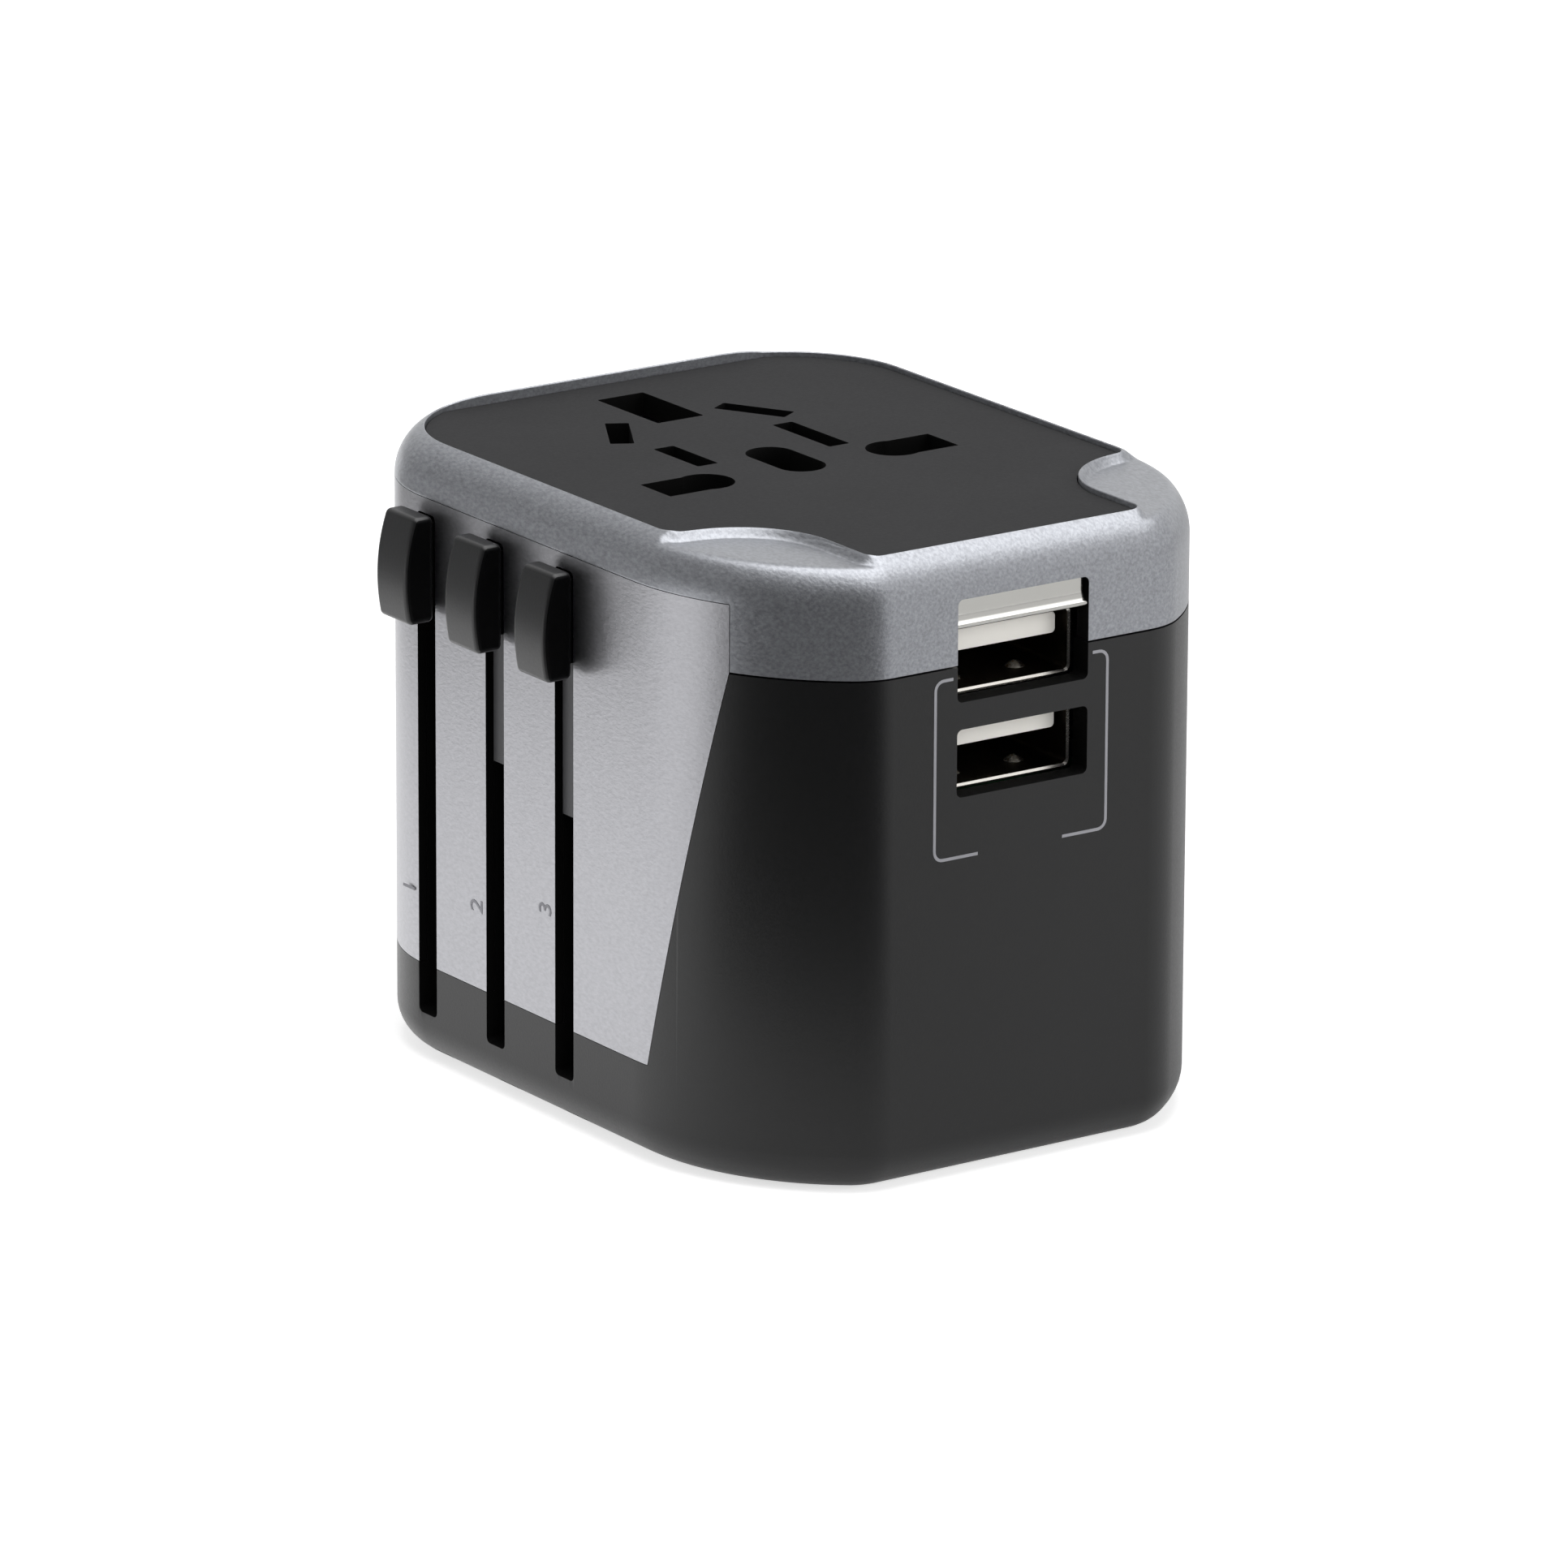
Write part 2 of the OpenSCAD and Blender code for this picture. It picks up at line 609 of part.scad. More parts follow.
module line_contact(m) color("#c9a24a") translate([socket_x, socket_y, 0]) mirror([m, 0, 0]) {
    for (k = [0, 1]) mirror([0, k, 0]) {
        translate([cage[0] + 0.4, 0, 0]) rotate([90, 0, 90]) linear_extrude(cage[1] - cage[0] - 0.6)
            leaf(flat_pin_t / 2 - 0.05);
        translate([cage[1] - 0.4, flat_pin_t / 2 + 0.95, strap_z[0]]) cube([0.8, leaf_t, 2]);
    }
    // strap round to the blade contact
    strap_h = strap_z[1] - strap_z[0];
    translate([strap_x - leaf_t / 2, -flat_pin_t / 2 - 0.95 - leaf_t, strap_z[0]])
        cube([leaf_t, blade_row_y + 0.4 + flat_pin_t / 2 + 0.95 + leaf_t, strap_h]);
    translate([blade_leaf_x, blade_row_y - 0.1, strap_z[0]])
        cube([strap_x - blade_leaf_x, leaf_t, strap_h]);
    translate([blade_leaf_x, blade_row_y - blade_slot_l / 2 + 0.3, strap_z[0]])
        cube([leaf_t, blade_slot_l - 0.6, frame_top - 2 - strap_z[0]]);
}

module live_contact() line_contact(1);
module neutral_contact() line_contact(0);

earth_half = earth_hole_w / 2 - 0.175;   // half the gap between the earth leaves
earth_low = frame_low + 3;

module earth_contact() color("#c9a24a") translate([socket_x, socket_y + earth_pitch, 0]) {
    for (s = [-1, 1])
        translate([s > 0 ? earth_half : -earth_half - leaf_t + slit, 1.05 - earth_hole_l / 2, earth_low])
            cube([leaf_t - slit, earth_hole_l - 2.1, frame_top - earth_low - 2.3]);
    translate([-earth_half - leaf_t + slit, -earth_hole_l / 2 - 0.3, earth_low])
        cube([2 * (earth_half + leaf_t - slit), leaf_t, 6]);
    for (s = [-1, 1])
        translate([s > 0 ? earth_half : -earth_half - leaf_t + slit, -earth_hole_l / 2 - 0.3, earth_low])
            cube([leaf_t - slit, 1.5, 6]);
}

// ---------- rails that feed the plugs ----------

rail_x = 4.4;
rail_t = 0.8;
rail_y = [slider_y + 2.6, slider_y + 7];
rail_l = rail_y[1] - rail_y[0];
rail_top = frame_low + 3;

module rail(s) color("#c9a24a") translate([socket_x + s * rail_x - rail_t / 2, rail_y[0], floor_t])
    cube([rail_t, rail_l, rail_top - floor_t]);

module live_rail() rail(-1);
module neutral_rail() rail(1);

// ---------- fuse ----------

fuse_r = 2.6;
fuse_l = 20;
fuse_x = half_w - wall - 4.3;
fuse_bed = frame_low + 7;
fuse_z = fuse_bed + 0.5 + fuse_r;
clip_l = 4;

module fuse() color("#e6e2d6") translate([fuse_x, wing_y[0] + 0.5, fuse_z]) rotate([-90, 0, 0])
    cylinder(r = fuse_r, h = fuse_l);

module fuse_clips() color("#c9a24a") for (y = [0.8, fuse_l - 0.8 - clip_l])
    translate([fuse_x, wing_y[0] + 0.5 + y + clip_l, fuse_z]) rotate([90, 0, 0])
        linear_extrude(clip_l) difference() {
            union() {
                circle(r = fuse_r + 0.4);
                translate([-1.6, -fuse_r - 0.5]) square([3.2, 1]);
            }
            circle(r = fuse_r);
            translate([-fuse_r * 0.7, 0]) square([fuse_r * 1.4, 2 * fuse_r]);
        }

// ---------- shutter ----------

shutter_travel = 5.2;
shutter_t = 1.6;
shutter_z = frame_top + 0.3;
shutter_grow = 0.3;
shutter_x = [5.9, flat_reach + 1.2];
shutter_y = [-shutter_travel - flat_hole_h / 2 - 1.2, flat_hole_h / 2 + 1.2];
spring_x = 13;
spring_r = 0.62;
spring_wire = 0.15;
spring_turns = 7;
spring_end = shutter_y[1] + 10;

// Two plates under the live and neutral holes, joined by a bridge
module shutter() color("#2c2c2e") translate([socket_x, socket_y, shutter_z]) linear_extrude(shutter_t)
    difference() {
        translate([-shutter_x[1], shutter_y[0]]) square([2 * shutter_x[1], shutter_y[1] - shutter_y[0]]);
        translate([-shutter_x[0], shutter_y[0] + 1.6]) square([2 * shutter_x[0], 20]);
        // windows that come under the holes when it slides back
        translate([0, -shutter_travel]) for (m = [0, 1]) mirror([m, 0]) line_hole(shutter_grow);
    }

// Points of a coil spring along +Y: rings of a thin wire on a helix
coil_sides = 4;
coil_steps = 9;
function coil_ring(i, turns, length) =
    let(a = 360 * i / coil_steps, n = turns * coil_steps)
    [for (k = [0:coil_sides - 1])
        let(b = 360 * k / coil_sides, r = spring_r + spring_wire * cos(b))
        [r * cos(a), spring_wire + (length - 2 * spring_wire) * i / n + spring_wire * sin(b), r * sin(a)]];

module coil(turns, length) {
    n = turns * coil_steps;
    points = [for (i = [0:n]) each coil_ring(i, turns, length)];
    sides = [for (i = [0:n - 1], k = [0:coil_sides - 1])
        let(a = i * coil_sides, k2 = (k + 1) % coil_sides)
        [a + k, a + k2, a + coil_sides + k2, a + coil_sides + k]];
    ends = [[for (k = [coil_sides - 1:-1:0]) k], [for (k = [0:coil_sides - 1]) n * coil_sides + k]];
    polyhedron(points, concat(sides, ends));
}

module shutter_spring() color("#b8babd")
    translate([socket_x + spring_x, socket_y + shutter_y[1], shutter_z + shutter_t / 2])
        coil(spring_turns, spring_end - shutter_y[1]);

// ---------- USB ----------

board_t = 1.2;
board_z = usb_low_z - usb_mouth_h / 2 - 1.04 - board_t;
board_half_w = 15.2;
board_y = [front_y + 4.6, frame_front];
shell_y = front_y + usb_inset + 0.1;
shell_half_w = usb_mouth_w / 2 + 0.4;
shell_top = usb_win_top - 0.1;
usb_zs = [usb_low_z, usb_low_z + usb_pitch];

module usb_shell() color("#c7c8ca") difference() {
    translate([-shell_half_w, shell_y, board_z + board_t])
        cube([2 * shell_half_w, usb_shell_d, shell_top - board_z - board_t]);
    for (z = usb_zs) translate([-usb_mouth_w / 2, shell_y - 1, z - usb_mouth_h / 2])
        cube([usb_mouth_w, usb_shell_d, usb_mouth_h]);
}

usb_tongue = [11.1, usb_shell_d - 2, 1.84];   // width, depth and thickness

module usb_tongues() color("#f4f4f2") for (z = usb_zs)
    translate([-usb_tongue[0] / 2, shell_y + 1, z + 0.32]) cube(usb_tongue);

module usb_contacts() color("#d0a548") for (z = usb_zs, x = [-3.5, -1, 1, 3.5])
    translate([x - 0.5, shell_y + 1.6, z + 0.12]) cube([1, usb_tongue[1] - 1.4, 0.2]);

module circuit_board() color("#2f6b45")
    translate([-board_half_w, board_y[0], board_z])
        cube([2 * board_half_w, board_y[1] - board_y[0], board_t]);

part_z = board_z + board_t;
core_x = -shell_half_w - 4.4;
core_y = front_y + 9.8;

module transformer_core() color("#3d3b3a") translate([core_x - 3.6, core_y, part_z]) difference() {
    cube([7.2, 12, 11]);
    translate([-1, 2.4, 2]) cube([10, 2.4, 7]);
    translate([-1, 7.2, 2]) cube([10, 2.4, 7]);
}

module transformer_coil() color("#d8c44a") translate([core_x - 3.5, core_y, part_z]) {
    translate([0, 2.5, 2.1]) cube([7, 2.2, 6.8]);
    translate([0, 7.3, 2.1]) cube([7, 2.2, 6.8]);
}

module capacitors() color("#28303a") for (y = [core_y - 0.5, core_y + 7.5])
    translate([shell_half_w + 4.3, y, part_z]) {
        cylinder(r = 3.5, h = 10.4);
        translate([0, 0, 10.4 - eps]) cylinder(r = 3.1, h = 0.4);
    }

// ---------- plugs ----------

neck_w = slot_w - 2 * neck_gap;
rest_lift = 0.2;                    // carriage clears the floor by this when it is down
riser_x = -half_w + wall + neck_gap;
riser_t = 1.8;
// the three-pin plug has the longest travel: from just below the contact frame to the floor
uk_travel = frame_low - lift_clear - carriage_t - floor_t - rest_lift;
eu_travel = uk_travel - eu_short;
us_travel = uk_travel - us_short;
eu_y = back_y - eu_back;
us_y = socket_y - us_pitch;

// Upright part of a carriage: riser behind the wall and neck in the slot
module riser(y, travel, recess) {
    base = floor_t + rest_lift + travel;
    neck_low = slot_low + travel + 0.3;
    translate([riser_x, y - 2, base]) cube([riser_t, 4, knob_top - 1 - base]);
    translate([-half_w + recess, y - neck_w / 2, neck_low])
        cube([wall + neck_gap - recess + eps, neck_w, knob_top - 1 - neck_low]);
}

// Knob with a bowed face, its neck reaching the carriage in the slot
module knob(y, recess) {
    bow_r = 15.6;
    bow_z = knob_low + 0.39 * knob_h;
    outer = -half_w - knob_proud;
    translate([0, y + knob_w / 2, 0]) rotate([90, 0, 0]) linear_extrude(knob_w) intersection() {
        translate([outer + bow_r, bow_z]) circle(r = bow_r, $fn = 180);
        translate([(outer - half_w - knob_clear) / 2, knob_low + knob_h / 2])
            round_rect(-half_w - knob_clear - outer, knob_h, 0.8);
    }
    translate([-half_w - knob_clear - 0.3, y - neck_w / 2, knob_low + 1])
        cube([knob_clear + 0.3 + recess, neck_w, knob_h - 2]);
}

neck_recess = [1.6, 0.6, 0.6];

eu_base = floor_t + rest_lift + eu_travel;
boss_r = 3.3;
// the round-pin bar runs between the earth pin's carriage and the back wall
earth_end = socket_y + earth_pitch + earth_pin_l / 2 + 1.1;
behind = back_y - wall - earth_end;
eu_bar_y = [earth_end + 0.15 * behind, earth_end + 0.79 * behind];

module eu_carriage() color("#3a3a3c") {
    difference() {
        translate([socket_x, 0, eu_base]) linear_extrude(carriage_t) {
            for (s = [-1, 1]) {
                translate([s * round_pitch / 2, eu_y]) circle(r = boss_r);
                translate([s * round_pitch / 2 - 2.2, eu_y]) square([4.4, eu_bar_y[1] - eu_y]);
            }
            translate([-round_pitch / 2, eu_bar_y[0]])
                square([round_pitch, eu_bar_y[1] - eu_bar_y[0]]);
            translate([riser_x - socket_x, slider_ys[0] - 2])
                square([socket_x - round_pitch / 2 - riser_x, 4]);
        }
        for (s = [-1, 1]) translate([socket_x + s * round_pitch / 2, eu_y, eu_base - 1])
            cylinder(r = pin_core_r, h = carriage_t + 2);
    }
    riser(slider_ys[0], eu_travel, neck_recess[0]);
}

module eu_knob() color("#505053") knob(slider_ys[0], neck_recess[0]);

pin_core_r = round_pin_r - 0.5;
sleeve_l = 10;

module eu_pins() color("#c9cbd0") for (s = [-1, 1])
    translate([socket_x + s * round_pitch / 2, eu_y, 0]) rotate_extrude() {
        difference() {
            translate([0, eu_tip]) square([round_pin_r, eu_travel - eu_tip - sleeve_l]);
            translate([round_pin_r - 0.8, eu_tip - 1]) difference() {
                square([1.8, 1.8]);
                translate([0, 1.8]) circle(r = 0.8);
            }
        }
        translate([0, eu_travel - sleeve_l - eps])
            square([pin_core_r, eu_base + carriage_t + 0.8 - eu_travel + sleeve_l]);
        translate([0, eu_base + carriage_t]) square([pin_core_r + 0.7, 0.8]);
    }

module eu_sleeves() color("#1f1f21") for (s = [-1, 1])
    translate([socket_x + s * round_pitch / 2, eu_y, eu_travel - sleeve_l]) difference() {
        cylinder(r = round_pin_r - 0.1, h = eu_base - eu_travel + sleeve_l);
        translate([0, 0, -1]) cylinder(r = pin_core_r, h = 2 * sleeve_l + 10);
    }

uk_base = floor_t + rest_lift + uk_travel;
uk_boss = [flat_pin_w + 2.2, flat_pin_t + 2.2];
pin_shank = 0.6;        // a pin's shank is drawn in by this inside its carriage
flat_sleeve_l = 9;

module uk_carriage() color("#3a3a3c") {
    difference() {
        translate([socket_x, 0, uk_base]) linear_extrude(carriage_t) {
            translate([0, socket_y])
                square([2 * line_pin_x + uk_boss[0], uk_boss[1]], center = true);
            translate([-2.6, socket_y]) square([5.2, earth_pitch]);
            translate([0, socket_y + earth_pitch]) square([6.4, earth_pin_l + 2.2], center = true);
            translate([riser_x - socket_x, slider_ys[1] - 2]) square([socket_x - riser_x, 4]);
        }
        for (s = [-1, 1]) translate([socket_x + s * line_pin_x, socket_y, uk_base])
            cube([flat_pin_w - 2 * pin_shank, flat_pin_t - 2 * pin_shank, 20], center = true);
        translate([socket_x, socket_y + earth_pitch, uk_base])
            cube([flat_pin_t - 2 * pin_shank, earth_pin_l - 2 * pin_shank, 20], center = true);
    }
    riser(slider_ys[1], uk_travel, neck_recess[1]);
}

module uk_knob() color("#505053") knob(slider_ys[1], neck_recess[1]);

// Flat pin with a bevelled end; w by t in section, from its end up to its carriage
module flat_pin(w, t, tip, sleeved) {
    bevel = 1;
    bare = sleeved ? uk_travel - tip - flat_sleeve_l : uk_base - tip;
    intersection() {
        translate([-w / 2, -t / 2, tip]) cube([w, t, bare]);
        rotate([90, 0, 0]) linear_extrude(t + 2, center = true) polygon([
            [-w / 2 + bevel, tip], [w / 2 - bevel, tip], [w / 2, tip + 2 * bevel],
            [w / 2, tip + 40], [-w / 2, tip + 40], [-w / 2, tip + 2 * bevel]
        ]);
        rotate([90, 0, 90]) linear_extrude(w + 2, center = true) polygon([
            [-t / 2 + bevel, tip], [t / 2 - bevel, tip], [t / 2, tip + 2 * bevel],
            [t / 2, tip + 40], [-t / 2, tip + 40], [-t / 2, tip + 2 * bevel]
        ]);
    }
    translate([-w / 2 + pin_shank, -t / 2 + pin_shank, tip + bare - eps])
        cube([w - 2 * pin_shank, t - 2 * pin_shank, uk_base + carriage_t - tip - bare + eps]);
}

module uk_line_pin(s) color("#c8a860") translate([socket_x + s * line_pin_x, socket_y, 0])
    flat_pin(flat_pin_w, flat_pin_t, uk_tip, true);
module uk_live_pin() uk_line_pin(-1);
module uk_neutral_pin() uk_line_pin(1);
module uk_earth_pin() color("#c8a860") translate([socket_x, socket_y + earth_pitch, 0])
    flat_pin(flat_pin_t, earth_pin_l, earth_tip, false);

module uk_sleeves() color("#1f1f21") for (s = [-1, 1])
    translate([socket_x + s * line_pin_x, socket_y, uk_travel - flat_sleeve_l]) difference() {
        translate([-flat_pin_w / 2 + 0.05, -flat_pin_t / 2 + 0.05, 0])
            cube([flat_pin_w - 0.1, flat_pin_t - 0.1, uk_base - uk_travel + flat_sleeve_l]);
        translate([-flat_pin_w / 2 + pin_shank, -flat_pin_t / 2 + pin_shank, -1])
            cube([flat_pin_w - 2 * pin_shank, flat_pin_t - 2 * pin_shank, 30]);
    }

us_base = floor_t + rest_lift + us_travel;
rotor_r = 4.2;
rotor_gap = 0.05;
flange_r = 4.9;
flange_h = 0.8;
rotor_h = carriage_t + rotor_gap;      // the flange runs just above the carriage
us_bar = [rotor_r + 1.6, us_y - rotor_r - 1.6, us_y + rotor_r + 1.5];
us_arm_w = 4.5;         // arm that runs from the blades to the slider
us_arm_low = us_y - 1.8;
us_arm_x = 7.6 - half_w;      // inner edge of the arm that passes the three-pin plug

module us_carriage() color("#3a3a3c") {
    difference() {
        translate([socket_x, 0, us_base]) linear_extrude(carriage_t) {
            translate([-blade_pitch / 2 - us_bar[0], us_bar[1]])
                square([blade_pitch + 2 * us_bar[0], us_bar[2] - us_bar[1]]);
            translate([riser_x - socket_x, us_arm_low])
                square([socket_x - blade_pitch / 2 - riser_x, us_arm_w]);
            translate([riser_x - socket_x, us_arm_low])
                square([us_arm_x - riser_x, slider_ys[2] + 2 - us_arm_low]);
        }
        for (s = [-1, 1]) translate([socket_x + s * blade_pitch / 2, us_y, us_base - 1])
            cylinder(r = rotor_r + rotor_gap, h = carriage_t + 2);
    }
    riser(slider_ys[2], us_travel, neck_recess[2]);
}

module us_knob() color("#505053") knob(slider_ys[2], neck_recess[2]);

// Disc that holds a blade and turns in the carriage
module rotor(s) color("#2a2a2c") translate([socket_x + s * blade_pitch / 2, us_y, 0]) difference() {
    union() {
        translate([0, 0, us_base]) cylinder(r = rotor_r, h = rotor_h + eps);
        translate([0, 0, us_base + rotor_h]) cylinder(r = flange_r, h = flange_h);
    }
    translate([-blade_t / 2, -blade_w / 2 + pin_shank, us_base - 1])
        cube([blade_t, blade_w - 2 * pin_shank, 20]);
}

module left_rotor() rotor(-1);
module right_rotor() rotor(1);

// Blade with a rounded end
module blade(s) color("#c8a860") translate([socket_x + s * blade_pitch / 2, us_y, 0]) {
    tip = us_tip;
    round = 1.6;
    translate([-blade_t / 2, 0, 0]) rotate([90, 0, 90]) linear_extrude(blade_t) {
        translate([-blade_w / 2, tip + round]) square([blade_w, us_base - tip - round]);
        translate([-blade_w / 2 + round, tip]) square([blade_w - 2 * round, round + eps]);
        for (m = [-1, 1]) translate([m * (blade_w / 2 - round), tip + round]) circle(r = round);
        translate([-blade_w / 2 + pin_shank, us_base - eps])
            square([blade_w - 2 * pin_shank, rotor_h + flange_h + eps]);
    }
}

module left_blade() blade(-1);
module right_blade() blade(1);

lower_housing();
side_panel();
top_cover();
socket_plate();
case_screws();
contact_frame();
live_contact();
neutral_contact();
earth_contact();
live_rail();
neutral_rail();
fuse();
fuse_clips();
shutter();
shutter_spring();
usb_shell();
usb_tongues();
usb_contacts();
circuit_board();
transformer_core();
transformer_coil();
capacitors();
eu_carriage();
eu_knob();
eu_pins();
eu_sleeves();
uk_carriage();
uk_knob();
uk_live_pin();
uk_neutral_pin();
uk_earth_pin();
uk_sleeves();
us_carriage();
us_knob();
left_rotor();
left_blade();
right_rotor();
right_blade();
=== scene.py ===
import math
import bmesh
import bpy
import numpy as np
from mathutils import Matrix, Vector


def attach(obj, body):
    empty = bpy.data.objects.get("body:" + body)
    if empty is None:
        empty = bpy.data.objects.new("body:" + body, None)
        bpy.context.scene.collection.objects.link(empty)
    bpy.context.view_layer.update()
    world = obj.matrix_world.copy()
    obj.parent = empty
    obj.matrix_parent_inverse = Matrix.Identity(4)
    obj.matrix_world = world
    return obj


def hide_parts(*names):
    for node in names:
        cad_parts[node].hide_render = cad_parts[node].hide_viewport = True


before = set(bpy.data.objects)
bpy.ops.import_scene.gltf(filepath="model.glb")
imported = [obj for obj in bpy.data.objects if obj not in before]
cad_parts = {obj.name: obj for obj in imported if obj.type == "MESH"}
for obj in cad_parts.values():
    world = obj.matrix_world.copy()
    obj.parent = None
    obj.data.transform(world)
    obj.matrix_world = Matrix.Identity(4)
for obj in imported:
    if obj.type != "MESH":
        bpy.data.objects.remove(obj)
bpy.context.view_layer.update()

# sizes are in millimetres unless a note says otherwise; meshes are written in metres


# sRGB hex to linear: each channel through the sRGB curve
def linear(hexText):
    channels = np.array([int(hexText[i:i + 2], 16) for i in (1, 3, 5)]) / 255
    low = channels / 12.92
    high = ((channels + 0.055) / 1.055) ** 2.4
    return tuple(np.where(channels <= 0.04045, low, high)) + (1.0,)


# adds one node; settings are socket values or attributes, links are socket: source
def addNode(tree, kind, settings=None, links=None):
    node = tree.nodes.new(kind)
    for key, value in (settings or {}).items():
        if isinstance(key, int) or key in node.inputs:
            node.inputs[key].default_value = value
        else:
            setattr(node, key, value)
    for key, source in (links or {}).items():
        tree.links.new(source, node.inputs[key])
    return node


# new material with its Principled shader and Object coordinates
def startMaterial(name, settings):
    material = bpy.data.materials.new(name)
    material.use_nodes = True
    tree = material.node_tree
    shader = tree.nodes["Principled BSDF"]
    for key, value in settings.items():
        shader.inputs[key].default_value = value
    place = addNode(tree, "ShaderNodeTexCoord").outputs["Object"]
    return material, tree, shader, place


# quads between neighbouring points of a rows x columns grid
def gridFaces(rows, columns, closeColumns=True, offset=0):
    r = np.arange(rows - 1)[:, None]
    c = np.arange(columns if closeColumns else columns - 1)[None, :]
    d = (c + 1) % columns
    quads = [r * columns + c, r * columns + d, (r + 1) * columns + d, (r + 1) * columns + c]
    return (np.stack(quads, -1).reshape(-1, 4) + offset).tolist()


# faces that close the first and last row of such a grid
def endFaces(rows, columns):
    return [list(range(k * columns, (k + 1) * columns)) for k in (0, rows - 1)]


# cosine and sine of angles, as points on a circle of radius 1
def unit(angles):
    return np.stack([np.cos(angles), np.sin(angles)], -1)


# points of an outline in x and z, at one y
def atY(outline, y):
    return np.column_stack([outline[:, 0], np.full(len(outline), y), outline[:, 1]])


# a flat outline carried along one axis from low to high, with both ends closed
def prism(outline, axis, low, high):
    flat = np.asarray(outline, float)
    count = len(flat)
    order = {"x": (2, 0, 1), "y": (0, 2, 1), "z": (0, 1, 2)}[axis]
    ends = [np.column_stack([flat, np.full(count, h)])[:, order] for h in (low, high)]
    faces = gridFaces(2, count) + [list(range(count))[::-1], list(range(count, 2 * count))]
    return np.concatenate(ends), faces


# points turned clockwise by an angle and moved to a centre
def turned(points, degrees, centre):
    a = math.radians(degrees)
    spin = np.array([[math.cos(a), math.sin(a)], [-math.sin(a), math.cos(a)]])
    return points @ spin + centre


# rectangle with rounded corners: quarter arcs about the four corner centres
def roundRect(centre, size, radius, steps=6):
    arc = unit(np.linspace(0, math.pi / 2, steps)) * radius
    inner = np.array(size) / 2 - radius
    signs = [(1, 1), (-1, 1), (-1, -1), (1, -1)]
    return np.concatenate([turned(arc, 90 * k, inner * s) for k, s in enumerate(signs)]) + centre


# ring of points: radius times the cosine and sine of equal steps
def circle(centre, radius, steps=40):
    return unit(np.linspace(0, 2 * math.pi, steps, endpoint=False)) * radius + centre


# several shapes as one list of points and faces
def join(shapes):
    points, faces, offset = [], [], 0
    for p, f in shapes:
        points.append(p)
        faces += [[i + offset for i in face] for face in f]
        offset += len(p)
    return np.concatenate(points), faces


# length along a run of points
def runLength(points):
    steps = np.linalg.norm(np.diff(points, axis=0), axis=1)
    return np.concatenate([[0], np.cumsum(steps)])


# points at given lengths along a run
def pointsAt(points, lengths):
    own = runLength(points)
    return np.stack([np.interp(lengths, own, points[:, k]) for k in (0, 1)], -1)


# normals of a run: its neighbours' direction turned by a quarter
def runNormals(points):
    step = np.gradient(points, axis=0)
    step /= np.linalg.norm(step, axis=1, keepdims=True)
    return np.stack([step[:, 1], -step[:, 0]], -1)


# object for a mesh, text, lamp or camera, put into the scene
def addObject(name, data):
    thing = bpy.data.objects.new(name, data)
    bpy.context.scene.collection.objects.link(thing)
    return thing


# object from a shape, its doubles merged and its faces turned outwards
def newObject(name, shape, material=None):
    points, faces = shape
    mesh = bpy.data.meshes.new(name)
    mesh.from_pydata((np.asarray(points) * 0.001).tolist(), [], faces)
    work = bmesh.new()
    work.from_mesh(mesh)
    bmesh.ops.remove_doubles(work, verts=work.verts, dist=1e-7)
    bmesh.ops.recalc_face_normals(work, faces=work.faces)
    work.to_mesh(mesh)
    work.free()
    if material:
        mesh.materials.append(material)
    return addObject(name, mesh)


# an object's mesh as it stands, modifiers and text worked in
def finishedMesh(thing):
    bpy.context.view_layer.update()
    graph = bpy.context.evaluated_depsgraph_get()
    return bpy.data.meshes.new_from_object(thing.evaluated_get(graph))


# gives a piece its finished mesh and drops its modifiers
def workIn(piece):
    mesh, old = finishedMesh(piece), piece.data
    piece.modifiers.clear()
    piece.data = mesh
    bpy.data.meshes.remove(old)


# smooth shading with edges above the angle left sharp; normals lean to the larger faces,
# so a flat area beside a rounded edge still shades flat
def settle(piece, sharpDegrees=32):
    workIn(piece)
    piece.data.shade_smooth()
    piece.data.set_sharp_from_angle(angle=math.radians(sharpDegrees))
    lean = piece.modifiers.new("normals", "WEIGHTED_NORMAL")
    lean.keep_sharp = True
    workIn(piece)


# takes the cutting shapes out of a piece
def cut(piece, shapes):
    cutter = newObject("cutter", join(shapes))
    tool = piece.modifiers.new("cut", "BOOLEAN")
    tool.operation = "DIFFERENCE"
    tool.solver = "EXACT"
    tool.use_self = True
    tool.object = cutter
    workIn(piece)
    bpy.data.objects.remove(cutter)


# rounds the edges steeper than 50 degrees
def bevel(piece, width, sharpDegrees=32):
    edge = piece.modifiers.new("edge", "BEVEL")
    edge.width = width * 0.001
    edge.segments = 2
    edge.limit_method = "ANGLE"
    edge.angle_limit = math.radians(50)
    settle(piece, sharpDegrees)


# another material on the faces that a test picks out by their centres and normals
def paintWhere(piece, material, test):
    faces = piece.data.polygons
    centre, normal = np.zeros(len(faces) * 3), np.zeros(len(faces) * 3)
    index = np.zeros(len(faces), np.int32)
    faces.foreach_get("center", centre)
    faces.foreach_get("normal", normal)
    faces.foreach_get("material_index", index)
    piece.data.materials.append(material)
    picked = test(centre.reshape(-1, 3) * 1000, normal.reshape(-1, 3))
    index[picked] = len(piece.data.materials) - 1
    faces.foreach_set("material_index", index)


# hangs a finished piece under its body and hides the CAD nodes it stands for
def dress(piece, body, slotName, *nodes):
    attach(piece, body)
    if nodes:
        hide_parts(*nodes)


